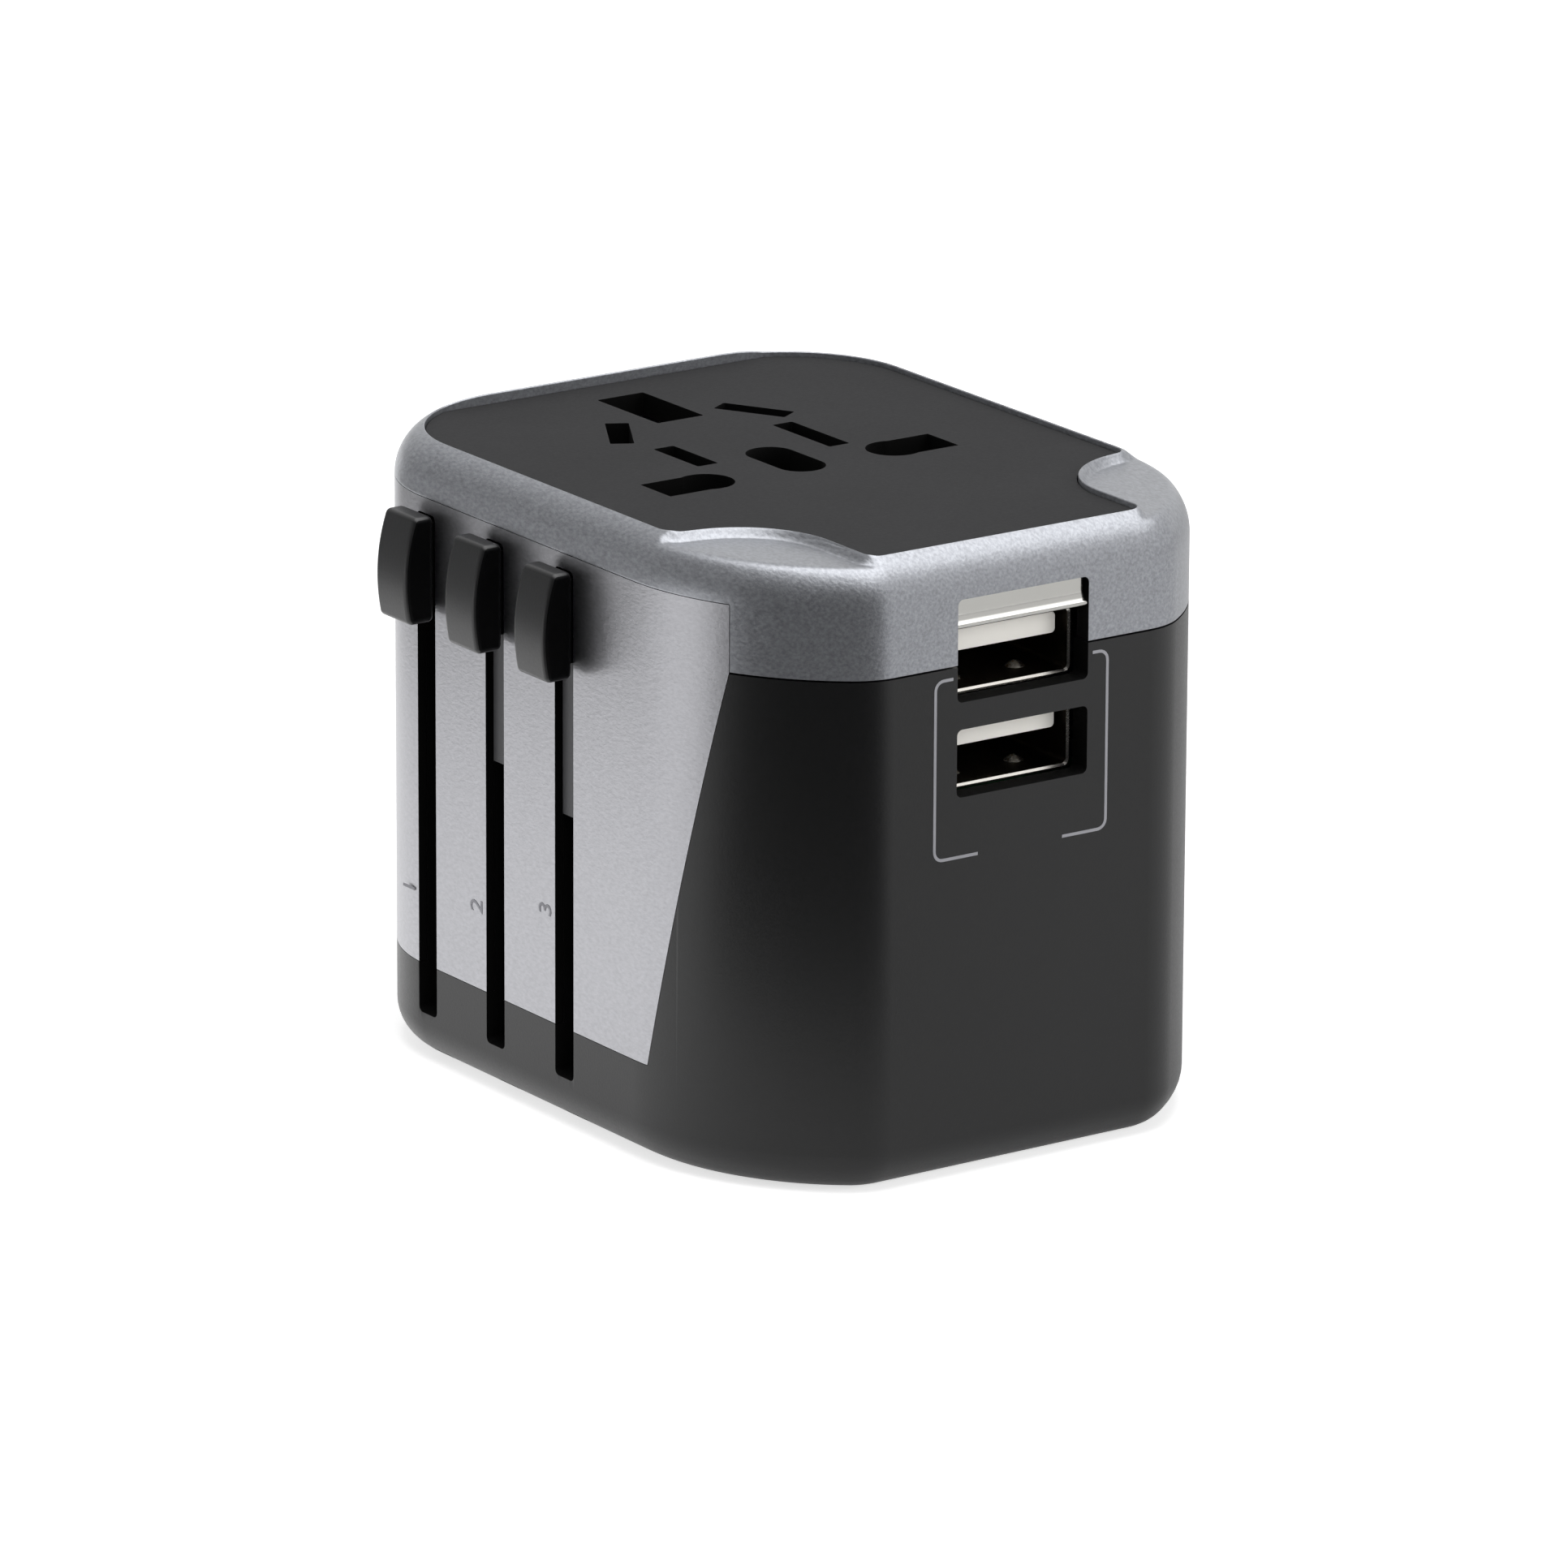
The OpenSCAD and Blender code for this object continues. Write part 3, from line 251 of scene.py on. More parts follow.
# base colour made lighter and darker by a share, as a pattern runs from 0.3 to 0.7
def tintBy(tree, shader, pattern, colour, share):
    value = addNode(tree, "ShaderNodeMapRange",
                    {"From Min": 0.3, "From Max": 0.7, "To Min": 1 - share, "To Max": 1 + share},
                    {"Value": pattern})
    tint = addNode(tree, "ShaderNodeHueSaturation", {"Color": linear(colour)},
                   {"Value": value.outputs[0]})
    tree.links.new(tint.outputs[0], shader.inputs["Base Color"])


# roughness spread below and above its middle, and a shallow relief, both from one pattern
def workSurface(tree, shader, pattern, roughness, spread, strength, depthMm):
    rough = addNode(tree, "ShaderNodeMapRange",
                    {"To Min": roughness - spread[0], "To Max": roughness + spread[1]},
                    {"Value": pattern})
    relief = addNode(tree, "ShaderNodeBump",
                     {"Strength": strength, "Distance": depthMm * 0.001}, {"Height": pattern})
    tree.links.new(rough.outputs[0], shader.inputs["Roughness"])
    tree.links.new(relief.outputs[0], shader.inputs["Normal"])


# Spray-painted ABS with fine aluminium flake under matt lacquer: a soft sheen that swings with
# the light and a faint grain of short strokes, drawn coarser than the real flake so that it shows
def flakePaint(name, colour, metallic, roughness, grainMm, contrast):
    material, tree, shader, place = startMaterial(name, {"Metallic": metallic})
    slanted = addNode(tree, "ShaderNodeMapping",
                      {"Rotation": (0.5, 0.7, 0.9), "Scale": (1.0, 0.5, 1.0)}, {"Vector": place})
    grain = addNode(tree, "ShaderNodeTexNoise",
                    {"Scale": 1000 / grainMm, "Detail": 3.0, "Roughness": 0.6},
                    {"Vector": slanted.outputs[0]}).outputs[0]
    tintBy(tree, shader, grain, colour, contrast)
    workSurface(tree, shader, grain, roughness, (0.05, 0.05), 0.7, 0.03)
    return material


# Moulded plastic with an eroded (sparked) surface: fine even grain, no clear reflection
def mouldedPlastic(name, colour, roughness, shine=0.5, grainMm=0.25, depthMm=0.012, blotch=0.06):
    material, tree, shader, place = startMaterial(name, {"IOR": 1.46, "Specular IOR Level": shine})
    grain = addNode(tree, "ShaderNodeTexNoise", {"Scale": 1000 / grainMm, "Detail": 3.0},
                    {"Vector": place}).outputs[0]
    cloud = addNode(tree, "ShaderNodeTexNoise", {"Scale": 90.0, "Detail": 2.0},
                    {"Vector": place}).outputs[0]
    tintBy(tree, shader, cloud, colour, blotch)
    workSurface(tree, shader, grain, roughness, (0.07, 0.07), 0.6, depthMm)
    return material


# Rolled, stamped or plated metal: streaks of roughness along one axis
def workedMetal(name, colour, roughness, along, streakMm=0.12):
    settings = {"Metallic": 1.0, "Base Color": linear(colour)}
    material, tree, shader, place = startMaterial(name, settings)
    stretch = [1.0, 1.0, 1.0]
    stretch["xyz".index(along)] = 0.04
    drawn = addNode(tree, "ShaderNodeMapping", {"Scale": stretch}, {"Vector": place})
    streak = addNode(tree, "ShaderNodeTexNoise", {"Scale": 1000 / streakMm, "Detail": 2.0},
                     {"Vector": drawn.outputs[0]}).outputs[0]
    workSurface(tree, shader, streak, roughness, (0.08, 0.12), 0.25, 0.01)
    return material


# cover: mid silver-grey; side panel: lighter and flatter
silverPaint = flakePaint("silverPaint", "#95979c", 0.68, 0.34, 0.26, 0.21)
lightSilverPaint = flakePaint("lightSilverPaint", "#a7a7ab", 0.94, 0.36, 0.26, 0.1)
# housing: black with a soft-touch surface; socket plate: matte dark grey
softTouchPolycarbonate = mouldedPlastic("softTouchPolycarbonate", "#121213", 0.38, 0.5, 0.22)
sparkedAbs = mouldedPlastic("sparkedAbs", "#2d2d2e", 0.8, 0.2, 0.3)
# knobs: faces near black and bright at a slant; sides darker still, painted shade
rubberisedPaint = mouldedPlastic("rubberisedPaint", "#1d1d1e", 0.36, 0.55, 0.2)
knobSideShade = mouldedPlastic("knobSideShade", "#060607", 0.45, 0.15, 0.5, 0.004)
# moving plastic with a little shine; the carriages seen in the slots are grey
blackNylon = mouldedPlastic("blackNylon", "#1a1a1b", 0.45, 0.4, 0.3)
greyNylon = mouldedPlastic("greyNylon", "#4c4c4e", 0.5, 0.4, 0.3)
# near-black painted shade on the walls of slots, windows and holes and on the necks and shutter deep
# inside them; on the silver cover and panel it is also the bare cut edge
recessShadeBlack = mouldedPlastic("recessShadeBlack", "#070707", 0.7, 0.1, 0.5, 0.004)
# tongues: white, slightly warm; contact frame: ivory
whiteLcp = mouldedPlastic("whiteLcp", "#fffcf5", 0.4, 0.5, 0.4, 0.004, 0.02)
ivoryPbt = mouldedPlastic("ivoryPbt", "#d9d6cc", 0.5, 0.5, 0.3)
# glazed tube, solder mask over weave, grainy sintered core, shiny polyester tape, shrunk sleeve
fuseCeramic = mouldedPlastic("fuseCeramic", "#e9e6dc", 0.3, 0.5, 0.2, 0.003)
epoxyBoard = mouldedPlastic("epoxyBoard", "#1f5b39", 0.3, 0.5, 0.6, 0.01)
ferrite = mouldedPlastic("ferrite", "#2c2b2a", 0.7, 0.4, 0.15, 0.03)
coilTape = mouldedPlastic("coilTape", "#d3b93c", 0.25, 0.5, 0.8, 0.006)
capacitorSleeve = mouldedPlastic("capacitorSleeve", "#27303b", 0.28, 0.5, 0.8, 0.004)
# thin films of ink: light grey on the housing, grey on the silver panel
padPrint = mouldedPlastic("padPrint", "#97979c", 0.5, 0.4, 0.3, 0.002)
darkPrint = mouldedPlastic("darkPrint", "#86868b", 0.5, 0.4, 0.3, 0.002)
# round pins; folded USB shells, bright in front with painted shade on the walls inside; band over
# the upper socket
platedNickel = workedMetal("platedNickel", "#c9c8c4", 0.2, "z")
nickelSheet = workedMetal("nickelSheet", "#d6d3cc", 0.24, "x")
shellShadeNickel = workedMetal("shellShadeNickel", "#6a6256", 0.3, "y")
brushedNickel = workedMetal("brushedNickel", "#b9b8b4", 0.13, "x", 0.09)
# flat pins and blades; contacts and rails; screws and spring
milledBrass = workedMetal("milledBrass", "#c9a45c", 0.28, "z")
rolledBrass = workedMetal("rolledBrass", "#c8a04e", 0.32, "z")
zincSteel = workedMetal("zincSteel", "#9b9da1", 0.3, "z")
print("finishes ready")


form = dict(
    width=51.0, depth=64.4,
    backRadius=14.0,                # back corners
    arcRadius=22.0, arcDepth=19.0,  # big arcs beside the USB side
    edgeRadius=6.0,                 # softens their front edge
    sideTop=49.5,                   # where the crown begins
    split=43.75, seam=0.12,         # joint between cover and housing
    density=2.5,                    # points along the plan, higher is finer
)
halfW, halfD = form["width"] / 2, form["depth"] / 2

# centres of the plan's three arcs on the +X side, and the angle at which the first two touch
arcStep = form["arcRadius"] - form["edgeRadius"]
touch = math.acos((form["arcDepth"] - form["edgeRadius"]) / arcStep)
arcAt = np.array([halfW - form["arcRadius"], form["arcDepth"] - halfD])
edgeAt = np.array([arcAt[0] + arcStep * math.sin(touch), form["edgeRadius"] - halfD])
cornerAt = np.array([halfW - form["backRadius"], halfD - form["backRadius"]])


# +X half from front to back as points and outward normals: a straight, two arcs that touch,
# a straight, an arc and a straight; each arc point is its centre plus radius times its normal
def halfOutline(density):
    start = touch - math.pi / 2

    def arc(centre, radius, a, b, steps):
        normal = unit(np.linspace(a, b, int(steps * density) + 1)[1:])
        return centre + radius * normal, normal

    def straight(a, b, normal, steps):
        t = np.linspace(0, 1, int(steps * density) + 1)[1:, None]
        return a + (np.array(b) - a) * t, np.repeat([normal], len(t), 0).astype(float)

    parts = [
        (np.array([[0.0, -halfD]]), np.array([[0.0, -1.0]])),
        straight([0.0, -halfD], [edgeAt[0], -halfD], [0, -1], 10),
        arc(edgeAt, form["edgeRadius"], -math.pi / 2, start, 12),
        arc(arcAt, form["arcRadius"], start, 0, 26),
        straight([halfW, arcAt[1]], [halfW, cornerAt[1]], [1, 0], 16),
        arc(cornerAt, form["backRadius"], 0, math.pi / 2, 30),
        straight([cornerAt[0], halfD], [0.0, halfD], [0, 1], 8),
    ]
    return np.concatenate([p for p, n in parts]), np.concatenate([n for p, n in parts])


# whole ring, counter-clockwise from the middle of the USB side
def mirrorHalf(values):
    return np.concatenate([values, values[-2:0:-1] * (-1, 1)])


halfPoints, halfNormals = halfOutline(form["density"])
ringPoints, ringNormals = mirrorHalf(halfPoints), mirrorHalf(halfNormals)
ringCount = len(ringPoints)
densePoints, denseNormals = (mirrorHalf(v) for v in halfOutline(12))
denseLength = runLength(densePoints)


# one ring of points drawn in from the skin, at one height
def ringAt(inset, z):
    return np.column_stack([ringPoints - inset * ringNormals, np.full(ringCount, z)])


# place and normal at a length along the dense ring
def alongRing(length):
    place, normal = (np.stack([np.interp(length, denseLength, v[:, k]) for k in (0, 1)], -1)
                     for v in (densePoints, denseNormals))
    return place, normal / np.linalg.norm(normal, axis=-1, keepdims=True)


# side panel: a patch of the wall between a slanted front edge and a slanted back edge
panel = dict(
    low=8.7, high=49.5, slantTop=43.8,
    frontFoot=-15.25, frontHead=-23.4,    # along y
    backFoot=-13.0, backHead=-4.85,       # along x, on the back
    thick=0.8, seam=0.06, seatGap=0.05, edge=0.1,
    rows=30, headRows=5, columns=110,
)
slider = dict(
    middle=7.2, pitch=10.35,              # of the three slots, along y
    slotWide=2.75, slotLow=4.3, slotTop=48.2, slotCorner=0.5,
    outside=1.5, panelCut=2.0, housingCut=3.0,    # where the slots' cuts start and end
    # wallFrom to wallTo: depth over which the slots' walls get painted shade
    wallFrom=0.14, wallTo=5.5, wallSlack=0.03,    # where their walls are painted
)
sliderPlaces = [slider["middle"] + k * slider["pitch"] for k in (1, 0, -1)]

# the ring's left arcs, in front and at the back
leftFront = (densePoints[:, 0] < -10) & (densePoints[:, 1] < 0)
leftBack = (densePoints[:, 0] < 0) & (densePoints[:, 1] > 18)


# length along the dense ring where it passes given values of x (axis 0) or y (axis 1)
def ringLength(part, axis, values):
    order = np.argsort(densePoints[part][:, axis])
    return np.interp(values, densePoints[part][order, axis], denseLength[part][order])


# grid over height and share of the way from back edge to front edge: each point is a place on
# the ring less an inset times its normal; outer and inner sheet with a rim
def wallPatch(grow, outer, inner):
    edges = [panel["low"] - grow, panel["slantTop"], panel["high"] + grow]
    z = np.concatenate([np.linspace(edges[0], edges[1], panel["rows"]),
                        np.linspace(edges[1], edges[2], panel["headRows"])[1:]])
    climb = np.clip((z - panel["low"]) / (panel["slantTop"] - panel["low"]), 0, 1)
    frontY = panel["frontFoot"] + climb * (panel["frontHead"] - panel["frontFoot"]) - grow
    backX = panel["backFoot"] + climb * (panel["backHead"] - panel["backFoot"]) + grow
    first, last = ringLength(leftBack, 0, backX), ringLength(leftFront, 1, frontY)
    share = np.linspace(0, 1, panel["columns"])[None, :]
    place, normal = alongRing(first[:, None] + share * (last - first)[:, None])
    rows, columns = len(z), panel["columns"]
    height = np.repeat(z[:, None, None], columns, 1)
    sheets = [np.concatenate([place - inset * normal, height], -1).reshape(-1, 3)
              for inset in (outer, inner)]
    size = rows * columns
    faces = gridFaces(rows, columns, False) + gridFaces(rows, columns, False, size)
    number = np.arange(size).reshape(rows, columns)
    border = np.concatenate([number[0], number[1:, -1], number[-1, -2::-1], number[-2:0:-1, 0]])
    following = np.roll(border, -1)
    faces += np.stack([border, following, following + size, border + size], -1).tolist()
    return np.concatenate(sheets), faces


# the three slots as cutting shapes, from outside the skin to a depth behind it
def slotCuts(depth):
    middleZ = (slider["slotLow"] + slider["slotTop"]) / 2
    size = (slider["slotWide"], slider["slotTop"] - slider["slotLow"])
    return [prism(roundRect((y, middleZ), size, slider["slotCorner"]), "x",
                  -halfW - slider["outside"], -halfW + depth) for y in sliderPlaces]


# walls of the slots, behind their rounded outer edge, where shade is painted
def inSlot(centre, normal):
    across = np.min([np.abs(centre[:, 1] - y) for y in sliderPlaces], axis=0)
    behind = centre[:, 0] + halfW
    return ((across < slider["slotWide"] / 2 + slider["wallSlack"]) & (np.abs(normal[:, 0]) < 0.6)
            & (behind > slider["wallFrom"]) & (behind < slider["wallTo"]))


sidePanel = newObject("sidePanel", wallPatch(0, 0, panel["thick"]), lightSilverPaint)
cut(sidePanel, slotCuts(slider["panelCut"]))
bevel(sidePanel, panel["edge"], 20)
# painted shade: the slots' walls near-black, also the bare cut edge of the panel
paintWhere(sidePanel, recessShadeBlack, inSlot)
dress(sidePanel, "housing", "panel_silver", "side_panel")
print("side panel ready")


# lower housing: a tub with a rounded bottom edge, windows and openings
tub = dict(wall=2.0, floor=2.2, rounding=3.5, steps=12, edge=0.16, floorCut=(-1, 4))
usb = dict(
    lowZ=35.5, pitch=8.05,                # middle of the lower socket, and up to the upper one
    windowWide=13.1, windowHigh=5.75, windowTop=49.35, windowCorner=0.5, cut=(-34, -28),
    # wallFront and wallFoot: where the windows' walls get painted shade
    wallFront=-32.06, wallFoot=32, wallSlack=0.03,     # where the windows' walls are painted
    inset=2.4, deep=15.5,                 # shells: from the front, and their length
    mouthWide=12.5, mouthHigh=5.12, sheet=0.4, outerCorner=0.75, innerCorner=0.4, lip=0.12,
    shadeFrom=-29.6,                       # where the painted shade on the shells' inner walls begins
)
pins = dict(
    x=-1.3, corner=0.3,
    roundY=17.55, roundPitch=19.0, roundRadius=2.3,
    flatX=11.1, flatY=-2.3, flat=(6.95, 4.6),
    earthY=19.9, earth=(4.6, 8.6),
    bladeX=6.35, bladeY=-12.5, blade=(2.1, 6.95), twist=30.0,
    screwX=18.4, screwY=(-21.5, 23.6), screwRadius=2.5,
)


# rows from the inner floor up the inside, over the rim, down the outside and round the bottom
# edge, whose inset and height are the radius less its cosine and sine
def tubShape():
    turn = np.linspace(0, math.pi / 2, tub["steps"])
    r, top = tub["rounding"], form["split"] - form["seam"] / 2
    rows = [(tub["wall"], tub["floor"]), (tub["wall"], top), (0, top)]
    rows += [(r * (1 - math.cos(a)), r * (1 - math.sin(a))) for a in turn]
    points = np.concatenate([ringAt(inset, z) for inset, z in rows])
    return points, gridFaces(len(rows), ringCount) + endFaces(len(rows), ringCount)


# the two USB windows as cutting shapes
def usbCuts():
    low = usb["lowZ"] - usb["windowHigh"] / 2
    windows = [(low, low + usb["windowHigh"]), (low + usb["pitch"], usb["windowTop"])]
    return [prism(roundRect((0, (a + b) / 2), (usb["windowWide"], b - a), usb["windowCorner"]),
                  "y", *usb["cut"]) for a, b in windows]


# opening in which a blade can turn: the blade's outline swept through its twist
def bladeOpening(side):
    half, reach = pins["blade"][0] / 2, math.hypot(*pins["blade"]) / 2
    edge, turn = math.asin(half / reach), math.radians(pins["twist"])
    upper = np.linspace(math.pi / 2 + edge, math.pi / 2 - turn - edge, 8)
    waist = half * np.array([1, -math.tan(turn / 2)])
    arc = unit(upper) * reach
    shape = np.concatenate([arc, [waist], -arc, [-waist]])
    return shape * (side, 1) + (pins["x"] - side * pins["bladeX"], pins["bladeY"])


# openings in the floor for the pins, the blades and the screws
def floorCuts():
    x, corner = pins["x"], pins["corner"]
    outlines = [circle((x + s * pins["roundPitch"] / 2, pins["roundY"]), pins["roundRadius"])
                for s in (-1, 1)]
    outlines += [roundRect((x + s * pins["flatX"], pins["flatY"]), pins["flat"], corner)
                 for s in (-1, 1)]
    outlines += [roundRect((x, pins["earthY"]), pins["earth"], corner)]
    outlines += [bladeOpening(s) for s in (-1, 1)]
    outlines += [circle((s * pins["screwX"], y), pins["screwRadius"])
                 for s in (-1, 1) for y in pins["screwY"]]
    return [prism(outline, "z", *tub["floorCut"]) for outline in outlines]


# walls of the USB windows, behind their rounded outer edge, where shade is painted
def inWindow(centre, normal):
    x, y, z = np.abs(centre[:, 0]), centre[:, 1], centre[:, 2]
    inOpening = ((x < usb["windowWide"] / 2 + usb["wallSlack"]) & (z > usb["wallFoot"])
                 & (z < usb["windowTop"] + usb["wallSlack"]))
    return inOpening & (y > usb["wallFront"]) & (y < usb["cut"][1]) & (np.abs(normal[:, 1]) < 0.6)


# walls of both kinds
def inSlotOrWindow(centre, normal):
    return inSlot(centre, normal) | inWindow(centre, normal)


lowerHousing = newObject("lowerHousing", tubShape(), softTouchPolycarbonate)
cut(lowerHousing, [wallPatch(panel["seam"], -2, panel["thick"] + panel["seatGap"])])
cut(lowerHousing, slotCuts(slider["housingCut"]) + usbCuts() + floorCuts())
bevel(lowerHousing, tub["edge"])
# painted shade: the walls of the slots and windows near-black
paintWhere(lowerHousing, recessShadeBlack, inSlotOrWindow)
dress(lowerHousing, "housing", "body_black", "lower_housing")
print("lower housing ready")


# cover: skirt, rounded crown, two scoops with a raised lip, and the seat of the plate
cover = dict(
    wall=1.6, low=43.8, rounding=4.7, underside=49.7, edge=0.12, panelSeat=2.1,
    plateSide=2.65, plateFront=2.5, plateBack=3.7,     # margins round the plate
    plateGap=0.1, seatSoft=0.12, cornerSoft=2.0,
    scoopWide=9.4, scoopDeep=14.6, scoopRadius=8.75, scoopFloor=52.9,
    lipTop=53.73, lipFoot=1.0,                         # height, and distance at which it ends
    blendLeast=0.05, blendWidth=0.45, fadeFrom=0.9, fadeOver=1.2,
)


# rises from 0 to 1 with level ends: 3 t squared less 2 t cubed
def easedStep(t):
    t = np.clip(t, 0, 1)
    return t * t * (3 - 2 * t)


# how far a point is drawn in from the skin, from the straight or arc that it faces
def insetOf(x, y):
    x = np.abs(x)

    def fromArc(centre, radius):
        return radius - np.hypot(x - centre[0], y - centre[1])

    def angleAbout(centre):
        return np.arctan2(y - centre[1], x - centre[0])

    border, slack = touch - math.pi / 2, 1e-4    # where the two front arcs touch
    result = np.minimum(halfW - x, np.minimum(y + halfD, halfD - y))
    inArc = (y < arcAt[1]) & (angleAbout(arcAt) > border - slack)
    result = np.where(inArc, fromArc(arcAt, form["arcRadius"]), result)
    angle = angleAbout(edgeAt)
    inEdge = (x > edgeAt[0]) & (angle >= -math.pi / 2) & (angle <= border + slack)
    result = np.where(inEdge, fromArc(edgeAt, form["edgeRadius"]), result)
    inCorner = (x > cornerAt[0]) & (y > cornerAt[1])
    return np.where(inCorner, fromArc(cornerAt, form["backRadius"]), result)


# the plate's outer side, front and back, and the inner corner of a scoop
plateX, plateFrontY = halfW - cover["plateSide"], cover["plateFront"] - halfD
plateBackY = halfD - cover["plateBack"]
scoopX, scoopY = plateX - cover["scoopWide"], plateFrontY + cover["scoopDeep"]


# how far a point lies inside a scoop: distance to a rectangle's two inner sides and the round
# corner between them
def scoopDepthAt(x, y):
    r = cover["scoopRadius"]
    qx, qy = scoopX + r - np.abs(x), y - (scoopY - r)
    outside = np.hypot(np.maximum(qx, 0), np.maximum(qy, 0))
    return r - outside - np.minimum(np.maximum(qx, qy), 0)


# height of the skin: the crown's quarter round; in and near a scoop the smooth minimum of that and
# of a lip that falls off to the floor with the distance from the plate's edge
def crownHeight(x, y):
    r = cover["rounding"]
    reach = r - np.clip(insetOf(x, y), 0, r)
    crown = form["sideTop"] + np.sqrt(np.maximum(r ** 2 - reach ** 2, 0))
    gapX, gapY = (v[:, None] - seatEdge[None, :, k] for k, v in enumerate((x, y)))
    away = np.clip(np.sqrt(np.min(gapX ** 2 + gapY ** 2, axis=1)) / cover["lipFoot"], 0, 1)
    lip = cover["lipTop"] + (cover["scoopFloor"] - cover["lipTop"]) * easedStep(away)
    k = cover["blendLeast"] + cover["blendWidth"] * away
    h = np.clip(0.5 + 0.5 * (lip - crown) / k, 0, 1)
    blended = lip * (1 - h) + crown * h - k * h * (1 - h)
    inside = easedStep((scoopDepthAt(x, y) + cover["fadeFrom"]) / cover["fadeOver"])
    return crown + inside * (blended - crown)


# rounds the corners of an open run of points by cutting them again and again
def soften(points, rounds=4):
    for _ in range(rounds):
        a, b = points[:-1], points[1:]
        middle = np.stack([a * 0.75 + b * 0.25, a * 0.25 + b * 0.75], 1).reshape(-1, 2)
        points = np.concatenate([points[:1], middle, points[-1:]])
    return points


# +X half of the plate's edge from front to back: a straight, a scoop's arc, a side and a corner
# arc, each arc a centre plus radius times cosine and sine
def plateEdge():
    r, soft, back = cover["scoopRadius"], cover["cornerSoft"], form["backRadius"]
    scoop = (scoopX + r, scoopY - r) + r * unit(np.linspace(math.pi, math.radians(98), 24))
    frontCorner = soften(np.array([[scoopX - soft, plateFrontY], [scoopX, plateFrontY],
                                   [scoopX, plateFrontY + soft]]))
    sideCorner = soften(np.array([scoop[-1], [plateX, scoopY + 0.2], [plateX, scoopY + 2 * soft]]))
    corner = cornerAt + (back - cover["plateSide"]) * unit(np.linspace(0, math.pi / 2, 40))
    corner[:, 1] = np.minimum(corner[:, 1], plateBackY)
    return np.concatenate([[[0, plateFrontY]], frontCorner, scoop, sideCorner, corner,
                           [[0, plateBackY]]])


# length at which a run of points comes closest to a target
def nearest(points, target):
    return runLength(points)[np.argmin(np.linalg.norm(points - target, axis=1))]


# where the skin and the plate's edge line up
matches = [((0, -32.2), (0, -29.7)), ((9.6, -32.2), (9.6, -29.7)), ((22.3, -24.5), (16.0, -17.7)),
           ((25.5, -10.5), (22.85, -10.5)), ((25.5, 18.2), (22.85, 18.2)),
           ((11.5, 32.2), (11.5, 28.5)), ((0, 32.2), (0, 28.5))]


# the plate's edge with one point for each point of the skin's ring
def matchedEdge():
    edge = pointsAt(plateEdge(), np.linspace(0, runLength(plateEdge())[-1], 4000))
    outer = [nearest(halfPoints, p) for p, q in matches]
    inner = [nearest(edge, q) for p, q in matches]
    return pointsAt(edge, np.interp(runLength(halfPoints), outer, inner))


halfEdge = matchedEdge()
seatEdge = mirrorHalf(halfEdge)
seatNormals = mirrorHalf(runNormals(halfEdge))


# rows: inner foot, outer foot, skirt, quarter round with finer rows where the scoop's floor meets
# it, across to the plate with rows closing up towards the lip, over the lip's edge, down and back
def coverShape():
    low, soft = cover["low"] + form["seam"] / 2, cover["seatSoft"]
    rows = [ringAt(cover["wall"], low), ringAt(0, low), ringAt(0, form["sideTop"])]
    meet = math.asin((cover["scoopFloor"] - form["sideTop"]) / cover["rounding"])
    turn = np.concatenate([np.linspace(0, meet - 0.1, 16)[1:],
                           np.linspace(meet - 0.1, meet + 0.16, 11)[1:]])
    flat = [ringPoints - cover["rounding"] * (1 - math.cos(a)) * ringNormals for a in turn]
    last, edge = flat[-1], seatEdge + cover["plateGap"] * seatNormals
    share = 1 - (1 - np.linspace(0, 1, 41)[1:]) ** 1.6
    flat += [last + t * (edge + soft * seatNormals - last) for t in share]
    rows += [np.column_stack([p, crownHeight(p[:, 0], p[:, 1])]) for p in flat]
    top = rows[-1][:, 2]
    for a in np.radians([22, 45, 68, 90]):
        rows.append(np.column_stack([edge + soft * (1 - math.sin(a)) * seatNormals,
                                     top - soft * (1 - math.cos(a))]))
    rows.append(np.column_stack([edge, np.full(ringCount, cover["underside"])]))
    rows.append(ringAt(cover["wall"], cover["underside"]))
    rows.append(rows[0])
    return np.concatenate(rows), gridFaces(len(rows), ringCount)


topCover = newObject("topCover", coverShape(), silverPaint)
cut(topCover, [wallPatch(panel["seam"], -2, cover["panelSeat"])] + usbCuts())
bevel(topCover, cover["edge"], 62)
# painted shade: the windows' walls near-black, also the bare cut edge of the cover
paintWhere(topCover, recessShadeBlack, inWindow)
dress(topCover, "housing", "cover_silver", "top_cover")
print("cover ready")


# socket plate: a flat sheet with its holes
socket = dict(
    x=-1.3, y=-2.3, low=51.2, high=53.2, edge=0.14, corner=0.15, cut=(50, 55),
    roundPitch=19.0, roundRadius=2.4, flatReach=14.55, flatHigh=4.4,
    earthPitch=22.2, earth=(4.65, 9.1),
    bladePitch=12.7, bladeWide=2.0, bladeLong=(6.6, 8.4), bladeRow=7.6,
    angledPitch=13.7, angledRow=16.7, angle=30,
    middle=(4.2, 8.6), middleY=2.15,
    # the walls of the holes in this area get painted shade
    holesReach=14.7, holesFront=-20, holesBack=27,     # area that has the holes
)


